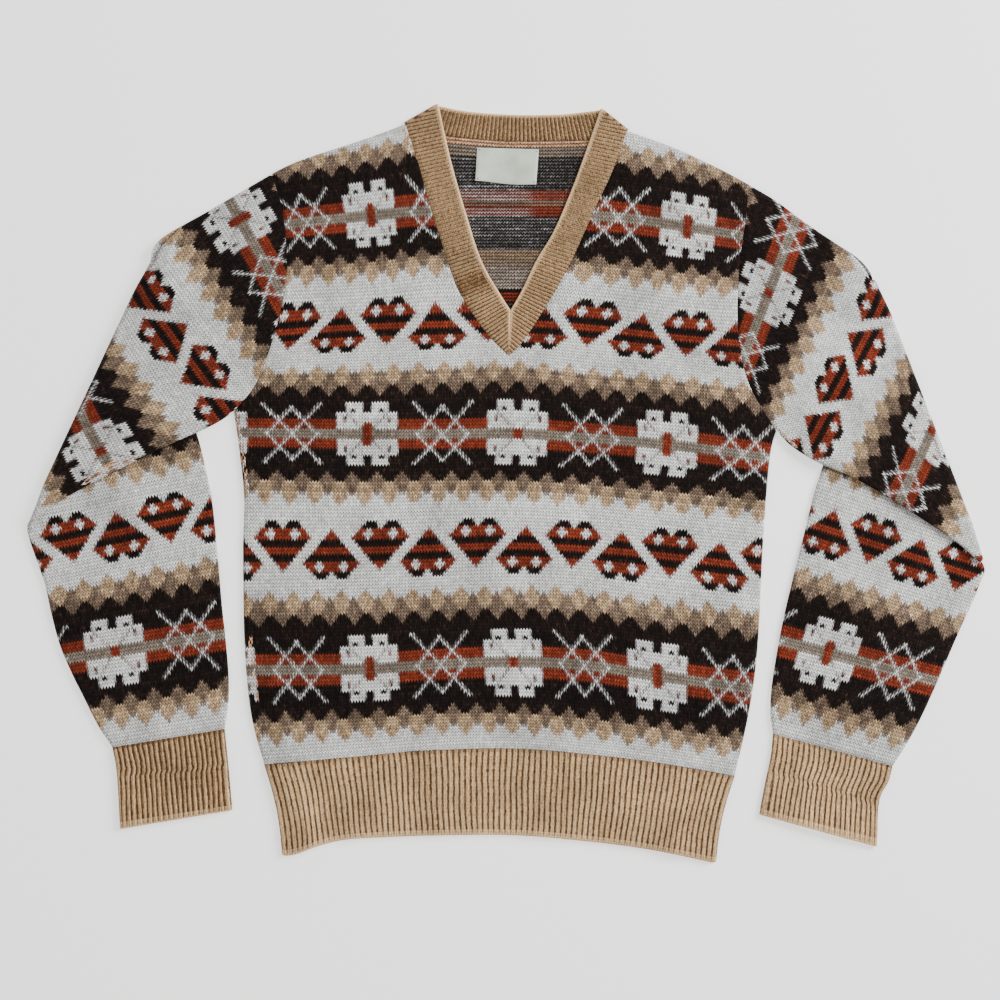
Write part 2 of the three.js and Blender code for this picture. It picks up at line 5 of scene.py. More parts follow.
import bpy
import numpy as np
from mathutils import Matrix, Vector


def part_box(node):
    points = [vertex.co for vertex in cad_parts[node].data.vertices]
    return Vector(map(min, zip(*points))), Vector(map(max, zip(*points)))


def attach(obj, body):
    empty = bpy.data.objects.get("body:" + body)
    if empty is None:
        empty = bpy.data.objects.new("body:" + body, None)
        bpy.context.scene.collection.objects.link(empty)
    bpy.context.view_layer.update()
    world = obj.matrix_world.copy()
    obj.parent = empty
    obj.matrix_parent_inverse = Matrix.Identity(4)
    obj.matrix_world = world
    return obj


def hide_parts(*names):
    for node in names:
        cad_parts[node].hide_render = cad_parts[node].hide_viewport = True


bl_info = {
    "name": "Fair Isle Jumper",
    "version": (1, 0, 0),
    "blender": (4, 5, 0),
    "location": "View3D > Sidebar > Jumper",
    "description": "Knits a V-neck fair isle jumper, laid flat, on the packed frame",
    "category": "Object",
}

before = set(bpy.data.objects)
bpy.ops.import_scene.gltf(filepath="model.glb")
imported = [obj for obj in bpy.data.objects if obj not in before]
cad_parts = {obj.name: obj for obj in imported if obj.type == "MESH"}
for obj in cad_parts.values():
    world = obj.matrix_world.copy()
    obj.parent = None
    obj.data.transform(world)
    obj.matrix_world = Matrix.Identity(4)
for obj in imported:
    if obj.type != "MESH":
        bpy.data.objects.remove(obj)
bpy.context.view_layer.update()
BODY = "root"
MM = 0.001

# Cloth, in millimetres. All the tables below are in millimetres too.
WALL = 2.2  # knitted wall
LAYER = 2.5  # underside of the cloth that lies on another wall
TUBE = 4.7  # two walls with the gap between them
SEAM = 0.1  # gap between two pieces at their seam
RIM = 2.5  # width over which an edge is rounded down
RIM_SHARE = 0.55  # share of a wall's thickness left at its seams
AIR = 1.8  # how far the upper cloth stands off the lower one
AIR_REACH = 45  # width over which it rises from an edge
WAVES = 1.2  # height of the small waves in the front
EDGE_ROUND = 3.2  # width of the round at a tube's side
SLEEVE_OVER = 5.6  # height of the upper arm's underside over the forearm
FOLD_CORE = 0.45  # inner radius of the elbow fold
FOLD_TUCK = 2.2  # how much further in a fold's two ends lie
FOLD_END = 38  # length of those ends
CLIMB_FROM = 60  # how far before the forearm's hidden edge the upper arm starts to climb
CLIMB_TO = 8  # and where it has climbed
RIB_RISE = 0.9  # height of a rib
RIBS_END = (0.94, 0.98)  # shares of the way down a rib wall where its ribs die out
CAST_OFF = (0.965, 0.985)  # shares where the cast-off edge rises
CAST_OFF_HIGHLIGHT = 0.975  # share from which that edge gets a painted highlight
HEM_BOW = 3.2  # how far the hem's sides bow inwards
HEM_CORNER = 2.5  # how far the hem's corners are rounded
HEM_RIBS = 80
NECK_ARM_RIBS = 68  # ribs up each side of the V
NECK_BACK_RIBS = 50  # ribs' worth of points across the back of the neck
NECK_BACK_PITCH = 3.43  # from rib to rib there
NECK_RIBS_END = (0.88, 0.94)  # shares over the neckband's width where its ribs die out
NECK_CAST_OFF = (0.9, 0.95)  # shares where its cast-off edge rises and gets a painted highlight
NECK_LEAN = 0.3  # how far the ribs lean at the ends of the back neck
NECK_TILTS = ((0, 0.12, 0.3, 0.6, 1), (42, 34, 22, 14, 12))  # share up an arm, ribs' tilt in degrees
NECK_STEPS = 17  # points over the neckband's width
NECK_TWIST = (-28, 179)  # where the left arm is a little twisted
NECK_TWIST_WAY = (0.35, -0.94)  # the way across the twist
NECK_TWIST_HALF = 8  # its half width
RIB_STEPS = 8  # points over each rib
RIB_SWAY = 0.07  # how far a rib wanders, in ribs
CREASE_SHIFT = 6  # how far the ribs step aside at a cuff's crease, in sways
MARL = 0.22  # how much the rib yarn's strands vary
CURVE_STEPS = 48  # steps along a smoothed line
LABEL_SIZE = (55, 28)  # width and depth that the label's rim is worked out from
LABEL_THICK = 0.8
LABEL_STITCH = 0.35  # light left on the four stitches at its corners
WEAVE_PITCH = 0.000942  # metres
STAIN_SIZE = 1 / 60  # metres
LIGHT_PATCH_SIZE = 0.045  # metres, of broad areas of painted light and shade on the cloth
FLOOR_HALF = 4.0  # metres
FLOOR_DROP = 0.0004  # metres
KEY_LIGHT = ((2.0, 1.1, 1.5), 1.4, 115, (0.97, 0.985, 1))  # place and size in metres, watts, colour
FILL_LIGHT = ((-1.8, -0.8, 2.2), 2.2, 14, (1, 0.95, 0.88))
SKY_LIGHT = 0.62

SIDE_LEFT = [(-217, -254), (-228.5, -210), (-234.5, -150), (-236, -60), (-235, -14), (-240, 34), (-244.5, 63)]
SIDE_RIGHT = [(206, -264.5), (219, -206), (226.5, -150), (231, -64), (234.5, -12), (238.5, 28), (243.5, 46)]
ARMHOLE_LEFT = [(-244.5, 63), (-224.5, 88), (-208, 132), (-198, 175), (-197, 215), (-202, 250), (-210, 277)]
ARMHOLE_RIGHT = [(243.5, 46), (222, 81), (212, 112), (208.5, 150), (210.5, 196), (215.5, 235), (219, 267)]
SHOULDER_LEFT = [(-210, 277), (-183, 289.5), (-128, 307.5), (-90, 321.5)]
SHOULDER_RIGHT = [(219, 267), (193, 281), (152, 300), (109, 315.5)]
VEE_SEAM_LEFT = [
    (-90, 321.5), (-79, 289), (-68, 248.5), (-55, 208), (-44, 175.5), (-28.5, 150), (-12, 128), (3, 114),
]
VEE_SEAM_RIGHT = [
    (109, 315.5), (95, 277), (80.5, 246.5), (63.5, 208), (47.5, 176.5), (27.5, 144), (13, 123), (3, 114),
]
VEE_EDGE_LEFT = [(-60, 338.5), (-49, 289), (-35, 240), (-22, 200), (-6, 171), (4.5, 154.5)]
VEE_EDGE_RIGHT = [(85, 334.5), (74.5, 304), (60, 264.5), (43.5, 226), (27.5, 199), (15, 173), (4.5, 154.5)]
BACK_NECK_SEAM = [
    (-90, 321.5), (-70, 314), (-50, 311), (-20, 308), (10, 306.5), (70, 307.5), (90, 310.5), (109, 315.5),
]
BACK_NECK_EDGE = [(-60, 338.5), (-35, 333.5), (5, 330.5), (45, 330.5), (68, 332.5), (85, 334.5)]
HEM_TOP = [(-217, -254), (-141, -247.5), (-72.5, -241.5), (3, -239.5), (66, -244), (135, -252), (206, -264.5)]
HEM_FOOT = [
    (-201, -335.5), (-189, -334), (-177, -329.5), (-164, -325), (-143, -320.5), (-110, -318.5), (-70, -317),
    (3, -316.5), (62, -321), (126, -329), (189.5, -342),
]
LABEL = [(-25.5, 300.5), (30, 299), (27.6, 267), (-27, 270)]

# Each sleeve lies folded at the elbow: the two edges of the upper arm run from the armhole to the
# fold, and those of the forearm from the fold to the cuff.
UPPER_TOP_LEFT = [
    (-210, 277), (-234, 263), (-263, 246), (-289, 231), (-308, 219), (-316.5, 209), (-318, 199.5),
]
UPPER_LIP_LEFT = [
    (-244.5, 63), (-259, 53), (-280, 43), (-310, 29.5), (-350, 9.5), (-391, -12), (-427, -33.5),
]
UPPER_TOP_RIGHT = [(219, 267), (242, 253.5), (267, 235), (293, 217), (316, 201), (326, 190), (329.5, 181.5)]
UPPER_LIP_RIGHT = [(243.5, 46), (257, 32), (280, 17.5), (313, 3.5), (353, -20), (396, -48), (427.5, -71)]
LOWER_INNER_LEFT = [
    (-306.5, 137), (-290, 83), (-277, 41.5), (-271, 19), (-264, -16), (-260, -52),
    (-257.5, -80), (-255, -110), (-251.5, -142), (-249, -172), (-249, -198), (-252.5, -222),
]
LOWER_OUTER_LEFT = [
    (-430, -38), (-430, -44), (-428.5, -50), (-426, -58), (-421, -72), (-414, -93),
    (-408, -120), (-401, -146), (-391, -170), (-380, -192), (-367, -218), (-353.5, -238.5),
]
LOWER_INNER_RIGHT = [
    (317, 123), (301, 65), (285, 14), (277, -12), (268, -48), (258.5, -86),
    (250, -122), (243.5, -156), (239, -186), (238, -208), (240.5, -226.5),
]
LOWER_OUTER_RIGHT = [
    (431, -77), (430.5, -83), (427, -90), (421, -106), (413, -123), (404.5, -142),
    (395.5, -163), (385.5, -186), (373.5, -212), (361, -235), (348, -255.5),
]

# Rings of each cuff, from the sleeve to the mouth: inner edge, outer edge, how far the mouth opens.
CUFF_LEFT = [
    (-252.5, -222, -353.5, -238.5, 0), (-249, -256, -349.5, -262, 0.3), (-245.5, -295, -346.5, -312, 0.6),
]
CUFF_RIGHT = [
    (240.5, -226.5, 348, -255.5, 0), (238.5, -246, 344.5, -269, 0.4),
    (233.5, -270, 336, -287, 1), (228, -299, 334, -328, 2.5),
]

# Soft folds: middle x and y, length along the angle, half width, angle in degrees, height.
FOLDS = [
    (13, 40, 150, 14, 92, 1.8), (5, -215, 150, 13, 86, 2.2), (-187, -215, 110, 9, 97, -1.4),
    (-207, -225, 120, 12, 95, 1.8), (-60, -170, 150, 20, 97, 1.3), (-100, -225, 90, 14, 82, 1.1),
    (120, -180, 140, 18, 84, 1.6), (70, -230, 90, 12, 100, 1.2), (-150, 80, 120, 18, 62, 1.6),
    (-125, 165, 110, 15, 48, 1.7), (165, 60, 120, 18, 118, 1.6), (140, 165, 110, 15, 128, 1.4),
    (-250, 165, 130, 16, 72, 2.4), (-300, 110, 120, 14, 60, 2), (-232, 90, 90, 12, 35, 1.6),
    (262, 150, 130, 16, 104, 2.4), (318, 80, 120, 14, 118, 2), (290, 35, 90, 12, 140, 1.8),
    (-330, -90, 90, 13, 22, 2), (-300, -190, 80, 12, 14, 1.7), (330, -110, 90, 13, 155, 2),
    (300, -200, 80, 12, 160, 1.7), (-345, -45, 90, 10, 25, 1.4), (350, -60, 90, 10, 150, 1.4),
]

# Where the knitting lies. Rows are counted up from the dark band under the armpits, and columns
# to the right from its middle snowflake. Each row of a table gives a row of knitting and the
# place, in photo pixels, of the columns named over it.
PIXEL = 0.9  # millimetres to a pixel of the photo
PHOTO_X = 505.5  # the photo's column over the tables' x = 0
PHOTO_Y = 482  # the photo's line over the tables' y = 0
PHOTO_SIDE = 1000  # pixels
BODY_COLUMNS = [-84, -48, -24, 0, 24, 48, 84]
BODY_LAY = [
    (-93.5, [(271, 764.5), (374.5, 755.5), (447, 750.3), (514, 748.5), (580, 753.5), (652, 762), (752, 779)]),
    (-85, [(268, 734), (371, 727.8), (445, 723.4), (515, 723.5), (582.5, 728.6), (655.5, 737.6), (760, 752)]),
    (-67, [(263, 669), (370.3, 667.5), (441, 663), (513.5, 660.5), (584, 664), (657, 674.5), (766, 690)]),
    (-48.5, [(258, 604.5), (366, 601.7), (437, 599), (508.5, 596.8), (579, 598.6), (655.3, 609), (775, 620)]),
    (-33.5, [(256, 550), (365, 549.5), (437.5, 547), (510, 545), (582, 548), (653.5, 554), (764, 567.5)]),
    (-18, [(255.7, 491), (368, 493), (442, 491.4), (513.5, 491.5), (585, 495.4), (660, 502), (776, 512)]),
    (0, [(255, 432), (367.5, 433.6), (442.5, 433.5), (517.5, 433), (592, 438), (666.5, 444), (780, 459)]),
    (17.5, [(254, 377.5), (368, 375.4), (443.5, 372.7), (518.7, 371), (592.7, 378.5), (667, 384), (780, 397)]),
    (33.5, [(266, 333), (372.5, 326.5), (447, 324), (524, 323), (599, 328.5), (672, 337), (777, 346)]),
    (45, [(276, 290), (375, 286), (440, 279), (527, 281), (612, 289), (679.5, 297.5), (782, 303)]),
    (67, [(275.6, 225.5), (371.4, 215.5), (434, 210.5), (526, 212), (618, 217.5), (687, 227), (788, 243)]),
    (79, [(263, 187), (366, 173), (433, 162), (527, 160), (621, 174.5), (690, 186), (793, 205)]),
    (100, [(263, 128), (368, 113), (435, 102), (530, 98), (628, 112), (694, 121), (800, 141)]),
]
SLEEVE_COLUMNS = [0, 48]
UPPER_LAY_LEFT = [
    (-93, [(-261, 494), (-193, 613)]),
    (-67, [(-181, 450), (-112.6, 568.6)]),
    (0, [(34.6, 332.5), (103, 451)]),
    (33.5, [(139.5, 289.6), (224, 405)]),
    (67, [(241, 219.5), (305, 332.5)]),
    (82, [(286, 195), (350, 308)]),
]
LOWER_LAY_LEFT = [
    (-93, [(129, 744.5), (266, 722.5)]),
    (-67, [(116, 650), (263, 627)]),
    (-33.5, [(101.8, 535.2), (247.3, 505.1)]),
    (0, [(74, 418), (222, 392)]),
]
UPPER_LAY_RIGHT = [
    (-93, [(1213, 592), (1270, 470)]),
    (-67, [(1133, 546), (1190, 424)]),
    (0, [(930, 430), (987, 308)]),
    (33.5, [(855.4, 352.8), (920.7, 229)]),
    (67, [(767, 293), (813, 171)]),
    (82, [(722, 270), (768, 148)]),
]
LOWER_LAY_RIGHT = [
    (-93, [(800, 741), (932, 777)]),
    (-67, [(827.5, 652), (965, 688)]),
    (-33.5, [(863.7, 540.4), (994.7, 582.4)]),
    (0, [(899.7, 426.8), (1030, 470)]),
]

# The charts, one string for each row of knitting. Columns are counted out from the middle, and
# each motif is the same on both sides of it. A dot is left in the colour of the ground.
YARNS = "wkrtbsp"  # white, black, rust, tan, brown, stone, peach
LATTICE = [
    "w.......w.", ".w.....w..", "..w...w...", "...w.w....", "....w.....",
    "...w.w....", "..w...w...", ".w.....w..", "w.......w.", ".........w",
]
SNOWFLAKE = [
    "rr........", "rr........", "rrswwwwwww", "rrwswwwwww", "wwwwsww.ww",
    "wwwwwsw.ww", "wwwwwwswww", "..ww..w...", "..wwwww...", "..wwwww...",
]
SNOWFLAKE_SMALL_HEART = SNOWFLAKE[:2] + ["wwswwwwwww", "wwwswwwwww"] + SNOWFLAKE[4:]
MOTIFS = [(0, SNOWFLAKE_SMALL_HEART), (24, LATTICE), (48, SNOWFLAKE), (72, LATTICE)]  # middle columns, charts
SCALLOP_ABOVE = [
    "kkkkb", "kkkbb", "kkbbb", "tbbbb", "ttbbb", "tttbb", "tttbb", "tttwb", "ttwww", "twwww",
]
SCALLOP_BELOW = [
    "kkkkb", "kkkbb", "kkbbb", "ttbbb", "tttbb", "tttbb", "tttwb", "tttww", "ttwww", "twwww",
]
HEART = [
    "..kkkk....", ".kkkkkk...", "rrrrwrrr..", "rrrwwwrrr.", "rrrrwrrrrr", "kkkkkkkkk.", "kkkkkkkk..",
    "rrrrrrr...", "rrrrrr....", "kkkkk.....", "kkkk......", "rrr.......", "rr........", "r.........",
]
BAND_PERIOD = 67
FLAKE_PERIOD = 96
HEART_PERIOD = 32
SCALLOP_PERIOD = 8
SCALLOP_FROM = 12
WIDER_BANDS = (-1, 1)  # dark bands with one row more over their motifs
HEARTS_TOP = 41  # the first of the rows with hearts, counted from the band under them
HEARTS_ROWS = 16
LAST_HEARTS = -90  # there are none from this row down

STITCH_RISE = 0.2  # how far a stitch's shoulders stand over its row, in rows
STITCH_DIP = 0.65  # how far its middle hangs below the row
LONE_LEG = 0.9  # how much of the ground shows on the fainter leg of a stitch in a slanting line
BLEED = 0.4  # most that a leg takes of the yarn beside it
STRAND_SPREAD = (0.12, 0.45, 0.22, 0.26, 0.26, 0.18, 0.25)  # how much strands vary, in the order of YARNS

# The back's inner side, down from the linking row under the neck rib: rows of knitting, their
# ground yarn, the yarn carried across them and its share on the left and on the right.
PURL_ROWS = [
    (2, "p", "s", 0.4, 0.4), (3, "s", "b", 0.5, 0.5), (8, "k", "w", 0.2, 0.14), (2, "k", "w", 0.38, 0.14),
    (3, "r", "w", 0.6, 0.06), (2, "b", "r", 0.5, 0.7), (3, "r", "w", 0.5, 0.02), (6, "k", "w", 0.28, 0.26),
    (4, "k", "w", 0.16, 0.16), (4, "b", "t", 0.5, 0.5), (8, "b", "w", 0.35, 0.35), (1, "k", "k", 0, 0),
    (3, "r", "k", 0.5, 0.5), (5, "k", "w", 0.1, 0.1),
]
PURL_COLUMN = 1.4  # mm to half a stitch
PURL_ROW = 2.95  # mm to a row
PURL_BUMP = 0.35  # rise of the strands

# Runs of linking stitches that show at a seam, as lines through photo pixels.
LINKING = [
    [(251, 640), (254, 668), (257, 700)], [(236, 410), (241, 440), (247, 484)],
    [(404, 131), (409, 142), (413, 156)], [(84, 484), (92, 479), (106, 472), (120, 465), (136, 458)],
    [(95, 473), (108, 467), (120, 461)], [(779, 432), (786, 438), (794, 446)],
]
LINKING_WIDTH = 1.7  # mm to each side
LINKING_SHARE = 0.75  # share of the stitches there that show it

# Folds that lift the hem: share across, lean over the rib's depth, half width as a share, rise.
HEM_FOLDS = [
    (0.035, 0.03, 0.03, 3.6), (0.155, 0.02, 0.026, 1.6), (0.34, 0.02, 0.03, 1.1),
    (0.62, -0.02, 0.035, 1.3), (0.93, -0.03, 0.03, 2.4),
]


def linear(colour):
    """Turn an sRGB hex colour to the linear values that Blender shades with."""
    parts = [int(colour[i : i + 2], 16) / 255 for i in (1, 3, 5)]
    return tuple(c / 12.92 if c <= 0.04045 else ((c + 0.055) / 1.055) ** 2.4 for c in parts)


def from_photo(pixels):
    """The places in plan of photo pixels, in the tables' millimetres."""
    return (np.asarray(pixels, float) - (PHOTO_X, PHOTO_Y)) * (PIXEL, -PIXEL)


def ease(start, stop, value):
    """A rise from 0 to 1 with soft ends."""
    share = np.clip((value - start) / (stop - start), 0, 1)
    return share * share * (3 - 2 * share)


def bulge(share):
    """A quarter circle's rise: steep at 0, level from 1 on."""
    return np.sqrt(np.clip(1 - (1 - np.clip(share, 0, 1)) ** 2, 0, 1))


def along(points, shares):
    """Places at shares of the way along a drawn line."""
    points = np.asarray(points, float)
    steps = np.linalg.norm(np.diff(points, axis=0), axis=1)
    place = np.concatenate([[0], np.cumsum(steps)]) / steps.sum()
    return np.stack([np.interp(shares, place, points[:, k]) for k in range(points.shape[1])], -1)


def curve(points, steps=CURVE_STEPS):
    """Evenly spaced points on a smooth curve through drawn ones."""
    p = np.asarray(points, float)
    padded = np.vstack([p[:1], p, p[-1:]])
    t = np.linspace(0, 1, 12, endpoint=False)[:, None]
    spans = [
        0.5 * (2 * b + (c - a) * t + (2 * a - 5 * b + 4 * c - d) * t**2 + (3 * b - a - 3 * c + d) * t**3)
        for a, b, c, d in zip(padded, padded[1:], padded[2:], padded[3:])
    ]
    return along(np.vstack([*spans, p[-1:]]), np.linspace(0, 1, steps + 1))


def moved(points, distance):
    """The line moved sideways, to the left of its direction."""
    ways = np.diff(points, axis=0)
    ways /= np.linalg.norm(ways, axis=1)[:, None]
    both = np.vstack([ways[:1] * 2, ways[:-1] + ways[1:], ways[-1:] * 2])
    left = np.stack([-both[:, 1], both[:, 0]], -1)
    return points + left * (2 * distance / (left**2).sum(1))[:, None]


def nearest(points, path):
    """How far each point is from a drawn line, and the nearest place on it."""
    best = np.full(len(points), np.inf)
    foot = np.array(points, float)
    for a, b in zip(path, path[1:]):
        way = b - a
        if way @ way < 1e-9:
            continue
        share = np.clip(((points - a) @ way) / (way @ way), 0, 1)
        place = a + share[:, None] * way
        away = np.linalg.norm(points - place, axis=1)
        closer = away < best
        best[closer] = away[closer]
        foot[closer] = place[closer]
    return best, foot


def inside(points, outline):
    """Whether each point lies inside a closed outline."""
    x, y = points[:, 0], points[:, 1]
    odd = np.zeros(len(points), bool)
    for (ax, ay), (bx, by) in zip(outline, np.roll(outline, -1, axis=0)):
        if ay != by:
            odd ^= ((ay > y) != (by > y)) & (x < (bx - ax) * (y - ay) / (by - ay) + ax)
    return odd


def through(knots, values, wanted):
    """Smooth values between the knots, and straight on beyond the ends."""
    knots = np.asarray(knots, float)
    values = np.asarray(values, float)
    wanted = np.asarray(wanted, float)
    slopes = np.gradient(values, knots, axis=0)
    i = np.clip(np.searchsorted(knots, wanted) - 1, 0, len(knots) - 2)
    span = knots[i + 1] - knots[i]
    shape = (-1,) + (1,) * (values.ndim - 1)
    raw = ((wanted - knots[i]) / span).reshape(shape)
    t = np.clip(raw, 0, 1)
    span = span.reshape(shape)
    start, stop = values[i], values[i + 1]
    value = start * (2 * t**3 - 3 * t**2 + 1) + stop * (3 * t**2 - 2 * t**3)
    value += span * (slopes[i] * (t**3 - 2 * t**2 + t) + slopes[i + 1] * (t**3 - t**2))
    beyond = raw - t
    return value + beyond * span * np.where(beyond < 0, slopes[i], slopes[i + 1])


def fold_height(plan):
    """How far the soft folds lift the cloth at each place."""
    height = np.zeros(len(plan))
    for x, y, length, width, degrees, rise in FOLDS:
        turn = math.radians(degrees)
        lengthways = (plan[:, 0] - x) * math.cos(turn) + (plan[:, 1] - y) * math.sin(turn)
        across = (plan[:, 1] - y) * math.cos(turn) - (plan[:, 0] - x) * math.sin(turn)
        height += rise * np.exp(-((across / width) ** 2) - (2 * lengthways / length) ** 4)
    return height


def unevenness(plan):
    """Small waves that keep laid cloth from looking pressed, from 0 to 1."""
    x, y = plan[:, 0], plan[:, 1]
    waves = np.sin(x / 17 + 1.3 * np.sin(y / 41)) + np.sin(y / 23 + 1.7 * np.sin(x / 37) + 1)
    waves += np.sin((x + y) / 13 + 2) * 0.5
    return 0.5 + waves / 5


# Seams that several pieces share.
SEAMS = {
    "side_left": curve(SIDE_LEFT),
    "side_right": curve(SIDE_RIGHT),
    "armhole_left": curve(ARMHOLE_LEFT),
    "armhole_right": curve(ARMHOLE_RIGHT),
    "shoulder_left": curve(SHOULDER_LEFT),
    "shoulder_right": curve(SHOULDER_RIGHT),
    "vee_left": curve(VEE_SEAM_LEFT),
    "vee_right": curve(VEE_SEAM_RIGHT),
    "back_neck": curve(BACK_NECK_SEAM),
    "hem_top": curve(HEM_TOP),
    "hem_foot": curve(HEM_FOOT),
}

UP_THE_RIGHT = [SEAMS["hem_top"]] + [SEAMS[f"{name}_right"][1:] for name in ("side", "armhole", "shoulder")]
DOWN_THE_LEFT = [SEAMS["shoulder_left"][-2::-1], SEAMS["armhole_left"][-2::-1], SEAMS["side_left"][-2:0:-1]]
FRONT_OUTLINE = np.vstack([*UP_THE_RIGHT, SEAMS["vee_right"][1:], SEAMS["vee_left"][-2::-1], *DOWN_THE_LEFT])
BACK_OUTLINE = np.vstack([*UP_THE_RIGHT, SEAMS["back_neck"][-2::-1], *DOWN_THE_LEFT])
SHIFT = np.array(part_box("back")[0][:2]) / MM - BACK_OUTLINE.min(axis=0)


class Lay:
    """Where each column and row of knitting lies in plan."""

    def __init__(self, columns, rows):
        self.columns = columns
        self.rows = [row for row, _ in rows]
        self.places = from_photo([places for _, places in rows])

    def plan(self, rows, columns):
        """The place in plan of each row and column's crossing."""
        knots = through(self.rows, self.places, rows)
        return np.swapaxes(through(self.columns, np.swapaxes(knots, 0, 1), columns), 0, 1)

    def stitches(self, rows, columns):
        """Corners of every stitch's two legs: the middle of each stitch hangs lower."""
        level = self.plan(rows + STITCH_RISE, columns)
        hanging = self.plan(rows - STITCH_DIP, columns)
        middle = np.arange(len(columns)) % 2 == 1
        return np.where(middle[None, :, None], hanging, level)


def apart(columns, middle, period):
    """How far each column is from the middle of the nearest motif."""
    return np.abs((columns - middle + period // 2) % period - period // 2)


def yarn_chart(shift, columns, rows, flakes=0):
    """The yarn of each stitch, as its place in YARNS."""
    made = np.zeros((len(rows), len(columns)), int)
    for j, row in enumerate(rows):
        number = (row + BAND_PERIOD // 2) // BAND_PERIOD
        over = row - number * BAND_PERIOD
        away = abs(over)
        scallop = SCALLOP_ABOVE if over > 0 else SCALLOP_BELOW
        first = SCALLOP_FROM + (over > 0 and number in WIDER_BANDS)
        if away < first:
            ground = "s" if away <= 1 else "r" if away <= 4 else "k"
            made[j] = YARNS.index(ground)
            for middle, chart in MOTIFS:
                if away < len(chart):
                    put(made[j], chart[away], apart(columns, middle - flakes, FLAKE_PERIOD))
        elif away < first + len(scallop):
            middle = -1 if over < 0 else 0
            put(made[j], scallop[away - first], apart(columns, middle, SCALLOP_PERIOD))
        elif row > LAST_HEARTS:
            down = HEARTS_TOP - row % BAND_PERIOD
            if 0 <= down < HEARTS_ROWS:
                for at, middle in ((down, shift), (HEARTS_ROWS - 1 - down, shift + HEART_PERIOD // 2)):
                    if at < len(HEART):
                        put(made[j], HEART[at], apart(columns, middle, HEART_PERIOD))
    return made


def put(row, chart, out):
    """Work a chart's row into a row of knitting: out is each stitch's distance to the motif's middle."""
    for i, yarn in enumerate(chart):
        if yarn != ".":
            row[out == i] = YARNS.index(yarn)


class Cloth:
    """Grids of cloth that end up as one piece."""

    def __init__(self):
        self.points, self.faces, self.marks, self.colours = [], [], [], []
        self.count = 0

    def add(self, points, marks, colours, keep=None, flip=False):
        """A grid of points in millimetres, with each point's stitch marks and each face's colour."""
        index = np.arange(points.shape[0] * points.shape[1]).reshape(points.shape[:2])
        quads = np.stack([index[:-1, :-1], index[:-1, 1:], index[1:, 1:], index[1:, :-1]], -1)
        if keep is None:
            keep = np.ones(quads.shape[:2], bool)
        quads = quads[keep][:, ::-1] if flip else quads[keep]
        used, quads = np.unique(quads, return_inverse=True)
        self.points.append(points.reshape(-1, 3)[used])
        self.marks.append(marks.reshape(-1, 2)[used])
        self.faces.append(quads.reshape(-1, 4) + self.count)
        self.colours.append(colours[keep])
        self.count += len(used)

    def piece(self, name, material, node, slot):
        """The finished piece, which stands for its CAD node."""
        points = np.vstack(self.points)
        faces = np.vstack(self.faces)
        marks = np.vstack(self.marks)
        colours = np.vstack(self.colours)
        points[:, :2] += SHIFT
        mesh = bpy.data.meshes.new(name)
        mesh.from_pydata((points * MM).tolist(), [], faces.tolist())
        mesh.polygons.foreach_set("use_smooth", np.ones(len(faces), bool))
        layer = mesh.uv_layers.new(name="stitches")
        layer.data.foreach_set("uv", marks[faces.ravel()].astype(np.float32).ravel())
        attribute = mesh.color_attributes.new("yarn", "FLOAT_COLOR", "CORNER")
        corners = np.repeat(np.hstack([colours, np.ones((len(colours), 1))]), 4, axis=0)
        attribute.data.foreach_set("color", corners.astype(np.float32).ravel())
        mesh.update()
        made = bpy.data.objects.new(name, mesh)
        bpy.context.scene.collection.objects.link(made)
        made.data.materials.append(material)
        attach(made, BODY)
        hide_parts(node)
        return made


def spun_legs(numbers, chance):
    """The colour of both legs of each stitch: strands vary, and where the yarn changes a leg
    shows a little of its neighbour. In a slanting line one stitch wide, the leg that slants the
    other way is fainter."""
    yarns = settings().palette()
    legs = np.repeat(numbers, 2, axis=1)
    beside = np.repeat(numbers, 2, axis=1)
    beside[:, 2::2] = numbers[:, :-1]
    beside[:, 1:-1:2] = numbers[:, 1:]
    share = chance.uniform(0, BLEED, legs.shape)
    padded = np.pad(numbers, 1, mode="edge")
    lone = (padded[1:-1, :-2] != numbers) & (padded[1:-1, 2:] != numbers)
    rising = (padded[2:, 2:] == numbers) | (padded[:-2, :-2] == numbers)
    falling = (padded[2:, :-2] == numbers) | (padded[:-2, 2:] == numbers)
    share[:, ::2] = np.where(lone & rising & ~falling, LONE_LEG, share[:, ::2])
    share[:, 1::2] = np.where(lone & falling & ~rising, LONE_LEG, share[:, 1::2])
    share = share[..., None]
    colours = yarns[legs] * (1 - share) + yarns[beside] * share
    spread = np.array(STRAND_SPREAD)[legs]
    stitch = np.repeat(chance.standard_normal(numbers.shape), 2, axis=1)
    tone = 0.8 * chance.standard_normal(legs.shape) + 0.6 * stitch
    tone += 0.3 * chance.standard_normal((len(legs), 1))
    return colours * np.exp(spread * tone)[..., None]


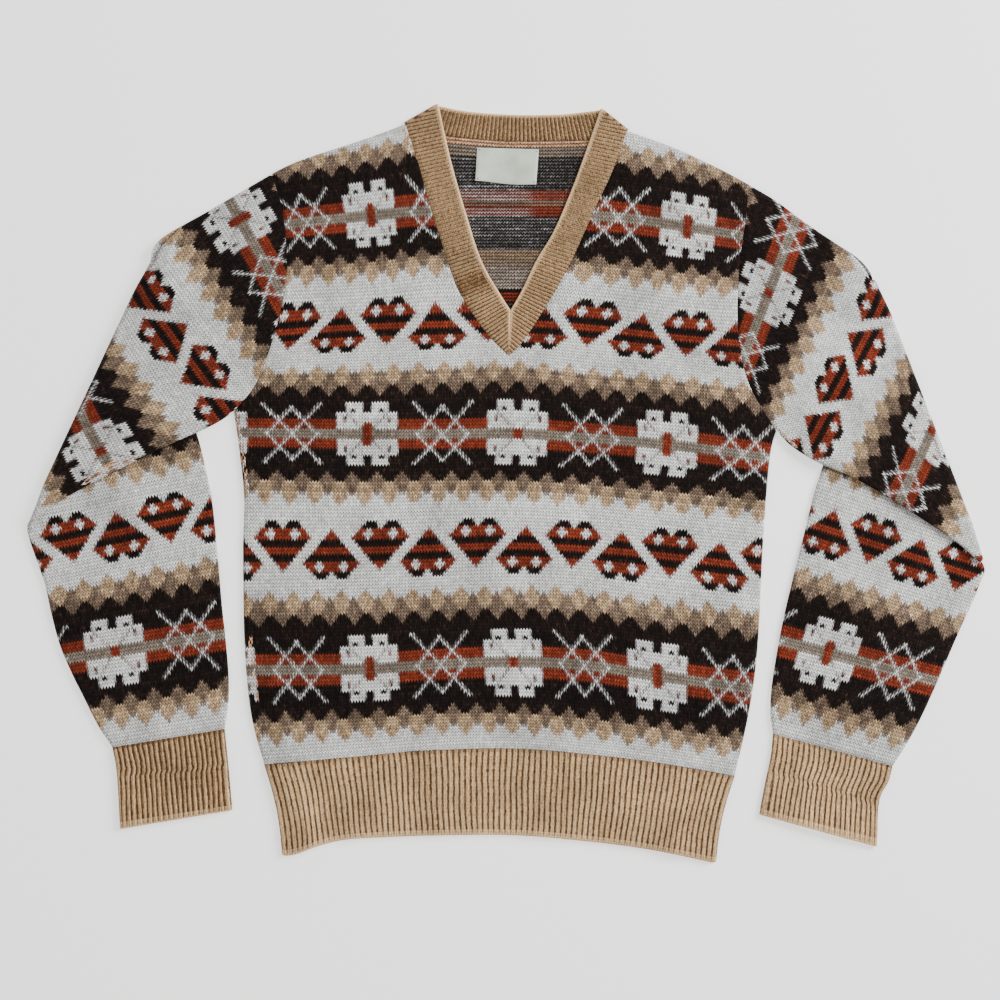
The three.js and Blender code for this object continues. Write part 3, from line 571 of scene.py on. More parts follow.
def knit(cloth, lay, rows, columns, outline, raise_up, shift, seed, flip=False, flakes=0):
    """Knits the stitches of a lay that fall inside an outline. raise_up gives their place in space,
    and shift and flakes move the hearts and the snowflakes along their rows."""
    row_edges = np.arange(rows[0], rows[1] + 2) - 0.5
    legs = np.arange(2 * columns[0], 2 * columns[1] + 3) / 2 - 0.5
    plan = lay.stitches(row_edges, legs)
    flat = plan.reshape(-1, 2)
    within = inside(flat, outline).reshape(plan.shape[:2])
    keep = within[:-1, :-1] | within[1:, :-1] | within[:-1, 1:] | within[1:, 1:]
    needed = np.zeros(plan.shape[:2], bool)
    for down in (slice(None, -1), slice(1, None)):
        for over in (slice(None, -1), slice(1, None)):
            needed[down, over] |= keep
    closed = np.vstack([outline, outline[:1]])
    outer = (needed & ~within).ravel()
    flat[outer] = nearest(flat[outer], closed)[1]
    points = np.zeros((len(flat), 3))
    points[needed.ravel()] = raise_up(flat[needed.ravel()])
    marks = np.stack(np.broadcast_arrays(legs[None, :] + 0.5, row_edges[:, None] + 0.5), -1)
    all_columns, all_rows = np.arange(columns[0], columns[1] + 1), np.arange(rows[0], rows[1] + 1)
    numbers = yarn_chart(shift, all_columns, all_rows, flakes)
    chance = np.random.default_rng(seed)
    colours = spun_legs(numbers, chance)
    if not flip:
        middles = ((plan[:-1, :-1] + plan[1:, 1:]) / 2)[keep]
        away = np.full(len(middles), np.inf)
        for run in LINKING:
            away = np.minimum(away, nearest(middles, from_photo(run))[0])
        linked = (away < LINKING_WIDTH) & (chance.uniform(0, 1, len(away)) < LINKING_SHARE)
        linking_yarns = settings().palette()[[YARNS.index("p"), YARNS.index("w")]]
        threads = linking_yarns[chance.integers(0, 2, len(away))]
        colours[keep] = np.where(linked[:, None], threads, colours[keep])
    cloth.add(points.reshape(*plan.shape[:2], 3), marks, colours, keep, flip)


def purl_side(cloth, seed):
    """The back's inner side where the neck shows it: lines of purl bumps and carried strands, darkened as
    painted shade.
    """
    yarns = settings().palette()
    chance = np.random.default_rng(seed)
    count = sum(rows for rows, *_ in PURL_ROWS)
    left, right = SEAMS["back_neck"][0, 0], SEAMS["back_neck"][-1, 0]
    across = np.arange(left, right, PURL_COLUMN)
    level = np.arange(3 * count + 1) / 3
    top = np.interp(across, SEAMS["back_neck"][:, 0], SEAMS["back_neck"][:, 1])
    flat = ease(0, 10, level)[:, None]
    y = top[None, :] * (1 - flat) + SEAMS["back_neck"][:, 1].min() * flat - PURL_ROW * level[:, None]
    wave = np.where(np.arange(len(across)) % 2 == 0, 0.22, -0.22) * PURL_ROW
    y = y + wave[None, :] * ease(0, 1, level)[:, None]
    bump = np.where(np.arange(len(level)) % 3 == 2, PURL_BUMP, 0)[:, None]
    z = WALL + bump * (0.6 + 0.4 * chance.uniform(-1, 1, y.shape))
    x = np.broadcast_to(across[None, :], y.shape)
    colours = np.zeros((len(level) - 1, len(across) - 1, 3))
    spread = np.array(STRAND_SPREAD)
    place = (across[:-1] - left) / (right - left)
    # Each row is a gap in painted shade, its ground yarn and then the line of its carried strand; the gap and
    # the ground are darkened as painted shade.
    third = 0
    for rows, ground, carried, share_left, share_right in PURL_ROWS:
        for _ in range(rows):
            share = share_left + (share_right - share_left) * ease(0.5, 0.6, place)
            knots = np.linspace(0, 1, len(place) // 9)
            runs = np.interp(place, knots, chance.uniform(0, 1, len(knots)))
            for shade, shows in ((0.4, 0), (0.85, 0.1), (0.85, 1)):
                mixed = np.clip(shows * share * (0.4 + 1.2 * runs), 0, 0.9)[:, None]
                base, strand = yarns[YARNS.index(ground)] * shade, yarns[YARNS.index(carried)]
                tone = np.exp(spread[YARNS.index(ground)] * chance.standard_normal(len(place)))[:, None]
                colours[third] = (base * (1 - mixed) + strand * mixed) * tone
                third += 1
    marks = np.zeros((*y.shape, 2))
    marks[..., 0] = np.arange(len(across))[None, :] / 2
    marks[..., 1] = level[:, None]
    cloth.add(np.dstack([x, y, z]), marks, colours, flip=True)


def front_height(plan):
    """The upper skin of the front panel."""
    away, _ = nearest(plan, np.vstack([FRONT_OUTLINE, FRONT_OUTLINE[:1]]))
    side = np.minimum(nearest(plan, SEAMS["side_left"])[0], nearest(plan, SEAMS["side_right"])[0])
    lift = AIR * ease(0, AIR_REACH, away) + fold_height(plan) * ease(0, AIR_REACH / 2, away)
    lift += WAVES * unevenness(plan) * ease(4, 25, away)
    skin = WALL * (RIM_SHARE + (1 - RIM_SHARE) * ease(0, RIM, away))
    roll = (LAYER + RIM_SHARE * WALL - TUBE / 2) * (1 - bulge(side / 4))
    return np.column_stack([plan, LAYER + lift + skin - roll])


def back_outside(plan):
    """The outer skin of the back panel, flat on the surface and rolled up at its sides."""
    side = np.minimum(nearest(plan, SEAMS["side_left"])[0], nearest(plan, SEAMS["side_right"])[0])
    return np.column_stack([plan, TUBE / 2 * (1 - bulge(side / 3))])


class Sleeve:
    """A sleeve as a flattened tube that is folded under itself at the elbow. Its fold lies further
    in than drawn by the tuck."""

    def __init__(self, armhole, upper_top, upper_lip, lower_inner, lower_outer, tuck):
        self.armhole = armhole
        self.tuck = tuck
        self.upper_top = curve(upper_top)
        self.upper_lip = curve(upper_lip)
        self.fold_top, self.fold_foot = self.upper_top[-1], self.upper_lip[-1]
        self.inner = curve([self.fold_top, *lower_inner])
        self.outer = curve([self.fold_foot, *lower_outer])
        way = self.fold_foot - self.fold_top
        self.outwards = np.array([way[1], -way[0]]) / np.linalg.norm(way)
        if self.outwards @ (self.fold_foot - self.upper_lip[0]) < 0:
            self.outwards = -self.outwards
        self.comes_out = np.asarray(lower_inner[2], float)
        self.upper_outline = np.vstack([self.armhole[::-1], self.upper_lip[1:], self.upper_top[::-1][:-1]])
        self.lower_outline = np.vstack([self.inner, self.outer[::-1]])
        round_fold = math.pi * (FOLD_CORE + TUBE) * self.outwards
        self.unfolded_top = np.vstack([self.upper_top, self.mirror(self.inner) + round_fold])
        self.unfolded_lip = np.vstack([self.upper_lip, self.mirror(self.outer) + round_fold])
        unfolded = [self.armhole[::-1], self.unfolded_lip[1:], self.unfolded_top[::-1][:-1]]
        self.outside_outline = np.vstack(unfolded)

    def past(self, plan):
        """How far each place lies beyond the fold."""
        return (plan - self.fold_top) @ self.outwards

    def mirror(self, plan):
        """The places on the other side of the fold."""
        return plan - 2 * self.past(plan)[:, None] * self.outwards

    def tucked(self, plan):
        """How far in the fold lies: further at its two ends, so that its corners are round."""
        way = self.fold_foot - self.fold_top
        length = np.linalg.norm(way)
        along_fold = (plan - self.fold_top) @ way / length
        near = 1 - ease(0, FOLD_END, np.minimum(along_fold, length - along_fold))
        past = self.past(plan)
        return (self.tuck + FOLD_TUCK * near) * ease(-14, 0, past) * (1 - ease(16, 60, past))

    def climb(self, plan):
        """The upper arm climbs over the forearm's hidden edge."""
        way = self.comes_out - self.fold_top
        way = way / np.linalg.norm(way)
        offset = plan - self.fold_top
        sideways = offset - (offset @ way)[:, None] * way
        beyond = np.linalg.norm(sideways, axis=1) * np.sign(sideways @ self.outwards)
        return SLEEVE_OVER * ease(-CLIMB_FROM, -CLIMB_TO, beyond)

    def swell(self, plan, one_edge, other_edge):
        """How far a tube's upper wall stands up between its two edges."""
        across = one_edge / np.maximum(one_edge + other_edge, 1e-6)
        return np.sin(math.pi * across) * (AIR + fold_height(plan) + 0.4 * unevenness(plan))

    def outside(self, plan):
        """The wall that is on top as far as the elbow, goes round the fold and then lies below."""
        top, _ = nearest(plan, self.unfolded_top)
        lip, _ = nearest(plan, self.unfolded_lip)
        edge = np.minimum(top, lip)
        height = TUBE / 2 * (1 + bulge(edge / EDGE_ROUND))
        past = self.past(plan)
        armhole, _ = nearest(plan, self.armhole)
        dip = (1 - RIM_SHARE) * WALL * (1 - ease(0, RIM, armhole))
        lift = self.swell(plan, top, lip) * ease(0, 30, armhole) * ease(0, 60, -past)
        radius = FOLD_CORE + height
        turn = np.clip(past / (FOLD_CORE + TUBE), 0, math.pi)
        rest = np.maximum(past - math.pi * (FOLD_CORE + TUBE), 0)
        over = np.where(past > 0, radius * np.sin(turn) - rest - past, 0)
        folded = plan + (over - self.tucked(plan))[:, None] * self.outwards
        bent = TUBE + FOLD_CORE + radius * np.cos(turn)
        flat = self.climb(plan) + height + lift - dip
        return np.column_stack([folded, np.where(past > 0, bent, flat)])

    def forearm(self, plan):
        """The wall that is on top below the elbow."""
        inner, _ = nearest(plan, self.inner)
        outer, _ = nearest(plan, self.outer)
        edge = np.minimum(inner, outer)
        height = TUBE / 2 * (1 + bulge(edge / EDGE_ROUND))
        under = inside(plan, self.upper_outline)
        lip, _ = nearest(plan, self.upper_lip)
        cuff, _ = nearest(plan, np.array([self.inner[-1], self.outer[-1]]))
        clear = np.where(under, 0, ease(4, 40, lip))
        lift = self.swell(plan, inner, outer) * clear * ease(0, 40, cuff)
        dip = (1 - RIM_SHARE) * WALL * (1 - ease(0, RIM, cuff))
        return np.column_stack([plan, height + lift - dip])

    def hidden(self, plan):
        """The upper arm's lower wall, which lies on the forearm."""
        top, _ = nearest(plan, self.upper_top)
        lip, _ = nearest(plan, self.upper_lip)
        height = TUBE / 2 * (1 - bulge(np.minimum(top, lip) / EDGE_ROUND))
        return np.column_stack([plan, self.climb(plan) + height])


def rib_profile(place):
    """The rise of a rib over its width, from 0 in the furrow to 1 on the ridge."""
    return (0.5 - 0.5 * np.cos(2 * math.pi * place)) ** 0.8


def rib_colours(profile, seed, tint=0):
    """Marled yarn, lighter on the ridges and darker in the furrows as painted light and shade: one colour for
    each face of a grid of profiles.
    """
    light, dark = settings().rib_tones()
    chance = np.random.default_rng(seed)
    middle = (profile[:-1, :-1] + profile[1:, 1:] + profile[1:, :-1] + profile[:-1, 1:]) / 4
    strand = chance.uniform(-1, 1, middle.shape)
    strand = strand + 0.6 * np.roll(chance.uniform(-1, 1, middle.shape), 1, axis=0)
    tone = np.clip(1.25 * middle - 0.12 + MARL * strand + tint, 0, 1.3)[..., None]
    return dark + (light - dark) * tone


def rib_piece(cloth, name):
    """The finished ribbing."""
    made = cloth.piece(f"{name}_ribbing", rib_wool(), name, "rib_knit")


def rib_wall(cloth, plan_of, ribs, courses, outer, inner, lift_of, seed, crease=None, tint=0):
    """A ribbed wall, from the panel it hangs on down to its foot and up again inside.

    plan_of gives the place in plan and lift_of the lift at shares across and down. outer and inner
    are the heights of the wall's two skins. crease is the share down at which it was once folded."""
    over = np.linspace(0, 1, ribs * RIB_STEPS + 1)
    ends = plan_of(np.array([[0.0, 1.0, 0.5, 0.5]]), np.array([[0.5, 0.5, 0.0, 1.0]]))[0]
    width = np.linalg.norm(ends[1] - ends[0])
    height = np.linalg.norm(ends[3] - ends[2])
    round_foot = WALL / 2 / height
    turns = np.radians(np.arange(0, 181, 30))
    down = [np.linspace(0, 1 - round_foot, courses, endpoint=False), 1 - round_foot * (1 - np.sin(turns))]
    down = np.concatenate([*down, np.linspace(1 - round_foot, 0.3, 9)[1:]])
    through_wall = np.concatenate([np.zeros(courses), (1 - np.cos(turns)) / 2, np.ones(8)])
    u, v = np.meshgrid(over, down)
    w = np.broadcast_to(through_wall[:, None], u.shape)
    sway = np.sin(5.1 * v + 9 * u + seed) + 0.6 * np.sin(11 * v - 23 * u) + 0.5 * np.sin(61 * u + 7 * v)
    folded = v if crease is None else v - crease(u)
    if crease is not None:
        sway = sway + CREASE_SHIFT * ease(-0.03, 0.03, folded)
    swayed = u + RIB_SWAY / ribs * sway * ease(0, 0.06, u) * ease(0, 0.06, 1 - u)
    rib_heights = 0.9 + 0.1 * np.random.default_rng(seed).uniform(-1, 1, ribs)
    rib_height = np.repeat(rib_heights, RIB_STEPS)
    rib_height = np.append(rib_height, rib_height[-1])
    profile = rib_profile(over * ribs)[None, :] * rib_height[None, :] * np.ones_like(v)
    # Near the seam the ribs flatten, and the colour worked out from their profile darkens with them as painted
    # shade along the seam.
    profile = profile * (0.25 + 0.75 * ease(0, 0.05, v))
    side = np.minimum(u, 1 - u) * width
    sign = np.sign(outer - inner)
    skin = outer + (inner - outer) * w
    top_round = (1 - RIM_SHARE) * WALL * (1 - ease(0, RIM, v * height)) * (1 - w)
    cast_off = np.where(w < 0.5, ease(*CAST_OFF, v) * 0.6, 0)
    rise = RIB_RISE * np.maximum(profile * (1 - ease(*RIBS_END, v)), cast_off) * np.clip(1 - 2 * w, 0, 1)
    if crease is not None:
        rise = rise - 0.9 * np.exp(-((folded / 0.025) ** 2)) * (1 - w)
    height_at = skin + sign * (rise - top_round)
    height_at = TUBE / 2 + (height_at - TUBE / 2) * bulge(side / EDGE_ROUND) + lift_of(u, v)
    points = np.dstack([plan_of(swayed, v), np.maximum(height_at, 0)])
    marks = np.stack(np.broadcast_arrays(over[None, :] * ribs, (v * courses) - STITCH_DIP * profile), -1)
    # The cast-off edge gets a painted highlight.
    tones = np.maximum(profile, np.where(v > CAST_OFF_HIGHLIGHT, 0.95, 0))
    cloth.add(points, marks, rib_colours(tones, seed, tint), flip=sign > 0)


def hem_plan(drop):
    """Places of the hem rib, whose foot hangs a little lower by a drop."""

    def plan(u, v):
        top = along(SEAMS["hem_top"], u.ravel()).reshape(*u.shape, 2) - [0, SEAM]
        foot = along(SEAMS["hem_foot"], u.ravel()).reshape(*u.shape, 2) - [0, drop]
        corner = HEM_CORNER * ((1 - bulge(u / 0.012)) + (1 - bulge((1 - u) / 0.012)))
        bow = HEM_BOW * np.sin(math.pi * v) * ((1 - ease(0, 0.14, u)) - (1 - ease(0, 0.14, 1 - u)))
        place = top + (foot - top) * v[..., None]
        return place + np.stack([bow, corner * v**3], -1)

    return plan


def hem_lift(u, v):
    """The hem is lifted in soft folds where the photo shows it catching the light."""
    lift = sum(rise * np.exp(-(((u - at - lean * v) / half) ** 2)) for at, lean, half, rise in HEM_FOLDS)
    return lift * ease(0, 0.025, u) * ease(0, 0.025, 1 - u)


def build_hem():
    """The ribs of both panels, which are seamed at the sides."""
    for name, outer, inner, drop, seed in (
        ("hem_rib_back", 0, WALL, 1.2, 41),
        ("hem_rib_front", TUBE, LAYER, 0, 42),
    ):
        lift = hem_lift if outer > inner else (lambda u, v: 0 * u)
        cloth = Cloth()
        rib_wall(cloth, hem_plan(drop), HEM_RIBS, 25, outer, inner, lift, seed)
        rib_piece(cloth, name)


def build_cuff(name, rings, ribs, crease, seed, tint):
    """A ribbed tube, lying flat, with its mouth a little open."""
    rings = np.array(rings, float)
    shares = np.linspace(0, 1, len(rings))

    def plan(u, v):
        at = through(shares, rings[:, :4], v.ravel()).reshape(*v.shape, 4)
        inner, outer = at[..., :2], at[..., 2:]
        down = (rings[1, :2] - rings[0, :2]) / np.linalg.norm(rings[1, :2] - rings[0, :2])
        return inner + (outer - inner) * u[..., None] + down * SEAM * (1 - v[..., None])

    def opened(u, v):
        return np.interp(v, shares, rings[:, 4]) * np.sin(math.pi * u)

    cloth = Cloth()
    rib_wall(cloth, plan, ribs, 22, TUBE, LAYER, opened, seed, crease, tint)
    rib_wall(cloth, plan, ribs, 22, 0, WALL, lambda u, v: 0 * u, seed + 1, tint=tint)
    rib_piece(cloth, name)


def reach(start, way, path):
    """How far a ray goes from a place before it meets a drawn line."""
    a, b = path[:-1], path[1:]
    side = b - a
    cross = way[0] * side[:, 1] - way[1] * side[:, 0]
    cross[np.abs(cross) < 1e-9] = 1e-9
    offset = a - start
    distance = (offset[:, 0] * side[:, 1] - offset[:, 1] * side[:, 0]) / cross
    share = (offset[:, 0] * way[1] - offset[:, 1] * way[0]) / cross
    met = distance[(share >= -0.001) & (share <= 1.001) & (distance > 1)]
    return met.min() if len(met) else None


def band_arm(seam, edge, ribs):
    """Seam and free ends of each line across one arm of the neckband, from the V point up."""
    shares = np.linspace(0, 1, ribs * RIB_STEPS + 1)
    starts, ends = along(seam, shares), along(edge, shares)
    path = np.vstack([starts[:1], edge])
    ways = np.gradient(starts, axis=0)
    for i, share in enumerate(shares):
        square = np.array([-ways[i, 1], ways[i, 0]])
        square = square / np.linalg.norm(square)
        chord = (ends[i] - starts[i]) / np.linalg.norm(ends[i] - starts[i])
        if square @ chord < 0:
            square = -square
        way = square + (chord - square) * ease(0.2, 0.6, share)
        way = way / np.linalg.norm(way)
        far = reach(starts[i], way, path)
        if far is not None and share > 0.003:
            ends[i] = starts[i] + way * min(far, 1.2 * np.linalg.norm(ends[i] - starts[i]))
        elif share <= 0.003:
            ends[i] = starts[i] + (path[1] - path[0]) * 0.02
    return starts, ends


def arm_ribs(plan, seam, side):
    """How many ribs up one arm of the neckband each place lies. side is 1 where the ribs run to
    the right from the seam, and -1 where they run to the left."""
    steps = np.linalg.norm(np.diff(seam, axis=0), axis=1)
    length = steps.sum()
    ahead = (seam[-1] - seam[-2]) / steps[-1]
    line = np.vstack([seam, seam[-1] + ahead * 40])
    marks = np.arange(0, length + 40, 1.2)
    starts = along(line, marks / (length + 40))
    tilts = np.radians(np.interp(marks / length, NECK_TILTS[0], NECK_TILTS[1]))
    tangents = np.gradient(starts, axis=0)
    tangents /= np.linalg.norm(tangents, axis=1)[:, None]
    best = np.full(plan.shape[:2], np.inf)
    place = np.zeros(plan.shape[:2])
    for mark, start, tilt, tangent in zip(marks, starts, tilts, tangents):
        way = np.array([side * math.cos(tilt), math.sin(tilt)])
        offset = plan - start
        above = side * (way[0] * offset[..., 1] - way[1] * offset[..., 0])
        rate = side * (way[0] * tangent[1] - way[1] * tangent[0])
        closer = np.abs(above) < np.abs(best)
        best = np.where(closer, above, best)
        place = np.where(closer, mark + above / rate, place)
    return place / length * NECK_ARM_RIBS


def back_ribs(plan, edge):
    """How many ribs across the back of the neck each place lies: they lean out at both ends."""
    middle = (edge[0, 0] + edge[-1, 0]) / 2
    half = (edge[-1, 0] - edge[0, 0]) / 2
    top = np.interp(plan[..., 0], edge[:, 0], edge[:, 1])
    lean = NECK_LEAN * np.clip((middle - plan[..., 0]) / half, -1.2, 1.2)
    return (plan[..., 0] + (top - plan[..., 1]) * lean - middle) / NECK_BACK_PITCH


def build_neckband():
    """One ribbed strip, from the point of the V up one side, over a fold at the shoulder, across
    the back of the neck, over the other fold and down to the point again."""
    core = SEAM / 2
    axis = LAYER - core
    seam_left = moved(SEAMS["vee_left"][::-1], SEAM)
    seam_right = moved(SEAMS["vee_right"][::-1], -SEAM)
    for seam in (seam_left, seam_right):
        seam[0, 1] = SEAMS["vee_left"][-1, 1] + 2 * SEAM
    seam_left[0, 0] -= SEAM / 2
    seam_right[0, 0] += SEAM / 2
    edge_left, edge_right = curve(VEE_EDGE_LEFT)[::-1], curve(VEE_EDGE_RIGHT)[::-1]
    left = band_arm(seam_left, edge_left - [SEAM / 2, 0], NECK_ARM_RIBS)
    right = band_arm(seam_right, edge_right + [SEAM / 2, 0], NECK_ARM_RIBS)
    left[1][-1], right[1][-1] = edge_left[-1], edge_right[-1]
    back_seam, back_edge = moved(SEAMS["back_neck"], SEAM), curve(BACK_NECK_EDGE)
    back_seam[0], back_seam[-1] = left[0][-1], right[0][-1]
    back_edge[0], back_edge[-1] = left[1][-1], right[1][-1]
    shares = np.linspace(0, 1, NECK_BACK_RIBS * RIB_STEPS + 1)
    back = along(back_seam, shares), along(back_edge, shares)
    turns = np.radians(np.arange(15, 180, 15))

    def fold(starts, ends):
        return np.repeat(starts[-1:], len(turns), axis=0), np.repeat(ends[-1:], len(turns), axis=0)

    fold_left, fold_right = fold(*left), fold(*right)
    starts = np.vstack([left[0], fold_left[0], back[0], fold_right[0], right[0][::-1]])
    ends = np.vstack([left[1], fold_left[1], back[1], fold_right[1], right[1][::-1]])
    arm_count, back_count, fold_count = len(left[0]), len(back[0]), len(turns)
    flat_front, flat_back = np.zeros(arm_count), np.full(back_count, math.pi)
    turn = np.concatenate([flat_front, turns, flat_back, turns[::-1], flat_front])
    outwards = np.zeros((len(turn), 2))
    for start, stop in ((arm_count, arm_count + fold_count), (-arm_count - fold_count, -arm_count)):
        way = ends[start] - starts[start]
        way = np.array([-way[1], way[0]]) / np.linalg.norm(way)
        outwards[start:stop] = way if way[1] > 0 else -way

    half_turns = np.radians(np.arange(0, 181, 30))
    flat = np.linspace(0, 0.93, NECK_STEPS)
    across = np.concatenate([flat[:-1], 0.93 + 0.07 * np.sin(half_turns), flat[-2::-1]])
    skin = np.zeros(NECK_STEPS - 1)
    through_wall = np.concatenate([skin, (1 - np.cos(half_turns)) / 2, skin + 1])
    plan = starts[:, None, :] + (ends - starts)[:, None, :] * across[None, :, None]
    first, last = arm_count + fold_count, len(turn) - arm_count - fold_count
    ribs = np.vstack([
        arm_ribs(plan[:first], seam_left, 1), back_ribs(plan[first:last], back_edge),
        arm_ribs(plan[last:], seam_right, -1),
    ])
    twist = np.exp(-(((plan - NECK_TWIST) @ NECK_TWIST_WAY / NECK_TWIST_HALF) ** 2))
    twist[first:] = 0
    profile = rib_profile(ribs) * (1 - 0.6 * twist)
    on_front = np.cos(turn)[:, None]
    seam_round = (1 - RIM_SHARE) * WALL * (1 - ease(0, 0.1, across))[None, :]
    front_share = np.clip((1 + on_front) / 2, 0, 1)
    rise = RIB_RISE * (0.6 - 0.3 * front_share) * profile * ease(0, 0.06, across)
    rise = rise * (1 - ease(*NECK_RIBS_END, across)) + 0.5 * ease(*NECK_CAST_OFF, across) - 0.9 * twist
    outer_rise = np.where(through_wall < 0.5, 1, 0) * np.clip(on_front, 0, 1) * (rise - seam_round)
    inner_rise = np.where(through_wall > 0.5, 1, 0) * np.clip(-on_front, 0, 1) * (rise - seam_round)
    radius = core + WALL * (1 - through_wall)[None, :] + outer_rise - inner_rise
    plan = plan + outwards[:, None, :] * (radius * np.sin(turn)[:, None])[..., None]
    points = np.dstack([plan, axis + radius * np.cos(turn)[:, None]])
    courses = 12
    marks = np.stack([ribs, across[None, :] * courses - STITCH_DIP * profile], -1)
    # The band is painted darker across the back of the neck as painted shade, and its cast-off edge gets a
    # painted highlight.
    tones = 0.6 * profile - 0.1 + 0.1 * front_share
    tones = np.maximum(tones, ease(*NECK_CAST_OFF, across)[None, :] * 1.2)
    cloth = Cloth()
    cloth.add(points, marks, rib_colours(tones, 61, -0.07 * twist[:-1, :-1]), flip=True)
    rib_piece(cloth, "neckband")


def band_scale(period):
    """The scale at which a wave texture repeats after a period."""
    return math.pi / 10 / period


def woven_satin():
    """Polyester satin ribbon: smooth and softly glossy along the weave, with fine lines across it.
    The real ribs of the weave are under 0.3 mm apart and are drawn at 0.9 mm so that they show."""
    material, tree = new_material("woven_polyester_satin")
    place = add_node(tree, "ShaderNodeTexCoord").outputs["Object"]
    threads = {"Vector": place, "Scale": band_scale(WEAVE_PITCH), "Distortion": 0.4}
    weave = add_node(tree, "ShaderNodeTexWave", threads, bands_direction="Y").outputs["Fac"]
    cloudy = {"Vector": place, "Scale": 1 / STAIN_SIZE, "Detail": 2.0}
    stain = add_node(tree, "ShaderNodeTexNoise", cloudy).outputs["Fac"]
    fades = {"Value": stain, "From Min": 0.35, "From Max": 0.7, "To Min": 1.06, "To Max": 0.8}
    tone = add_node(tree, "ShaderNodeMapRange", fades).outputs[0]
    lines = add_node(tree, "ShaderNodeMapRange", {"Value": weave, "To Min": 0.95, "To Max": 1.03}).outputs[0]
    light = add_node(tree, "ShaderNodeMath", {0: tone, 1: lines}, operation="MULTIPLY").outputs[0]
    satin = {0: tuple(settings().satin), "Scale": light}
    base = add_node(tree, "ShaderNodeVectorMath", satin, operation="SCALE").outputs[0]
    thread = add_node(tree, "ShaderNodeAttribute", attribute_name="yarn").outputs["Color"]
    base = add_node(tree, "ShaderNodeVectorMath", {0: base, 1: thread}, operation="MULTIPLY").outputs[0]
    bump = add_node(tree, "ShaderNodeBump", {"Height": weave, "Distance": 0.0001, "Strength": 0.5}).outputs[0]
    shader = add_node(
        tree, "ShaderNodeBsdfPrincipled",
        {"Base Color": base, "Normal": bump, "Roughness": 0.42, "IOR": 1.5, "Sheen Weight": 0.2},
    ).outputs[0]
    add_node(tree, "ShaderNodeOutputMaterial", {"Surface": shader})
    return material


def label_place(u, v):
    """Places on the label: u runs across and v down."""
    top_left, top_right, foot_right, foot_left = (np.array(corner, float) for corner in LABEL)
    top = top_left + (top_right - top_left) * u[..., None]
    foot = foot_left + (foot_right - foot_left) * u[..., None]
    plan = top + (foot - top) * v[..., None]
    outer = np.abs(u - 0.5) * 2
    curl = 1.2 * ease(0, 1, v) * ease(0.4, 1, outer)
    wave = 0.5 * (1 + np.sin(9 * u + 1.5 * v)) * v
    return plan + np.stack([0 * u, 0.7 * np.sin(6 * u + 1) * v], -1), LAYER + curl + wave


def build_label():
    """A folded strip of ribbon, sewn down at its corners and left blank."""
    u, v = np.meshgrid(np.linspace(0, 1, 41), np.linspace(0, 1, 25))
    plan, under = label_place(u, v)
    cloth = Cloth()
    edge = np.minimum(np.minimum(u, 1 - u) * LABEL_SIZE[0], np.minimum(v, 1 - v) * LABEL_SIZE[1])
    thick = LABEL_THICK * bulge(edge / LABEL_THICK + 0.15)
    white = np.ones((24, 40, 3))
    for row in (1, 22):
        for column in (1, 38):
            white[row, column] = LABEL_STITCH
    marks = np.dstack([u, v])
    cloth.add(np.dstack([plan, under + thick]), marks, white, flip=True)
    cloth.add(np.dstack([plan, under]), marks, white)
    made = cloth.piece("neck_label", woven_satin(), "label", "label_satin")


def settings():
    """The scene's own values of the jumper's settings."""
    return bpy.context.scene.jumper


def colour_setting(name, description, default):
    """A colour that a user may change."""
    return bpy.props.FloatVectorProperty(
        name=name, description=description, subtype="COLOR", min=0, max=1, default=linear(default)
    )


class JumperSettings(bpy.types.PropertyGroup):
    """Colours and sizes of the jumper that a user may change."""

    white: colour_setting("White", "Off-white yarn", "#ECEBE8")
    black: colour_setting("Black", "Black-brown yarn", "#1B110D")
    rust: colour_setting("Rust", "Rust yarn", "#7C301D")
    tan: colour_setting("Tan", "Tan yarn", "#B89A78")
    brown: colour_setting("Brown", "Mid brown yarn", "#7A6655")
    stone: colour_setting("Stone", "Grey stone yarn", "#84776A")
    peach: colour_setting("Peach", "Linking yarn", "#D9A27C")
    # rib is the ridges' colour and furrow the furrows' colour: the ribs' light and shade is painted between
    # the two, and furrow is the marl's dark strand as well.
    rib: colour_setting("Rib", "Marled yarn of the ribs", "#D2AE83")
    furrow: colour_setting("Furrow", "The marl's dark strand", "#543A22")
    satin: colour_setting("Label", "Satin of the neck label", "#CBD4C1")
    floor: colour_setting("Floor", "Plain floor", "#F4F4F3")
    stitch_depth: bpy.props.FloatProperty(
        name="Stitch depth", description="Depth of the furrows between stitches", subtype="DISTANCE",
        unit="LENGTH", min=0, max=0.002, default=0.0007,
    )
    camera_height: bpy.props.FloatProperty(
        name="Camera height", description="Height of the camera over the jumper", subtype="DISTANCE",
        unit="LENGTH", min=1, max=10, default=2.5,
    )

    def palette(self):
        """The yarns' colours in the order of YARNS."""
        return np.array([self.white, self.black, self.rust, self.tan, self.brown, self.stone, self.peach])

    def rib_tones(self):
        """The rib yarn's light strand and its dark strand, which also paints the shade in the furrows."""
        return np.array(self.rib), np.array(self.furrow)


def add_node(tree, kind, inputs=None, **values):
    """Add a shader node: inputs fill its sockets with values or other nodes' sockets."""
    made = tree.nodes.new(kind)
    for name, value in values.items():
        setattr(made, name, value)
    for socket, value in (inputs or {}).items():
        if isinstance(value, bpy.types.NodeSocket):
            tree.links.new(value, made.inputs[socket])
        else:
            made.inputs[socket].default_value = value
    return made


def new_material(name):
    """An empty material of that name, made once."""
    material = bpy.data.materials.get(name) or bpy.data.materials.new(name)
    material.use_nodes = True
    material.node_tree.nodes.clear()
    return material, material.node_tree


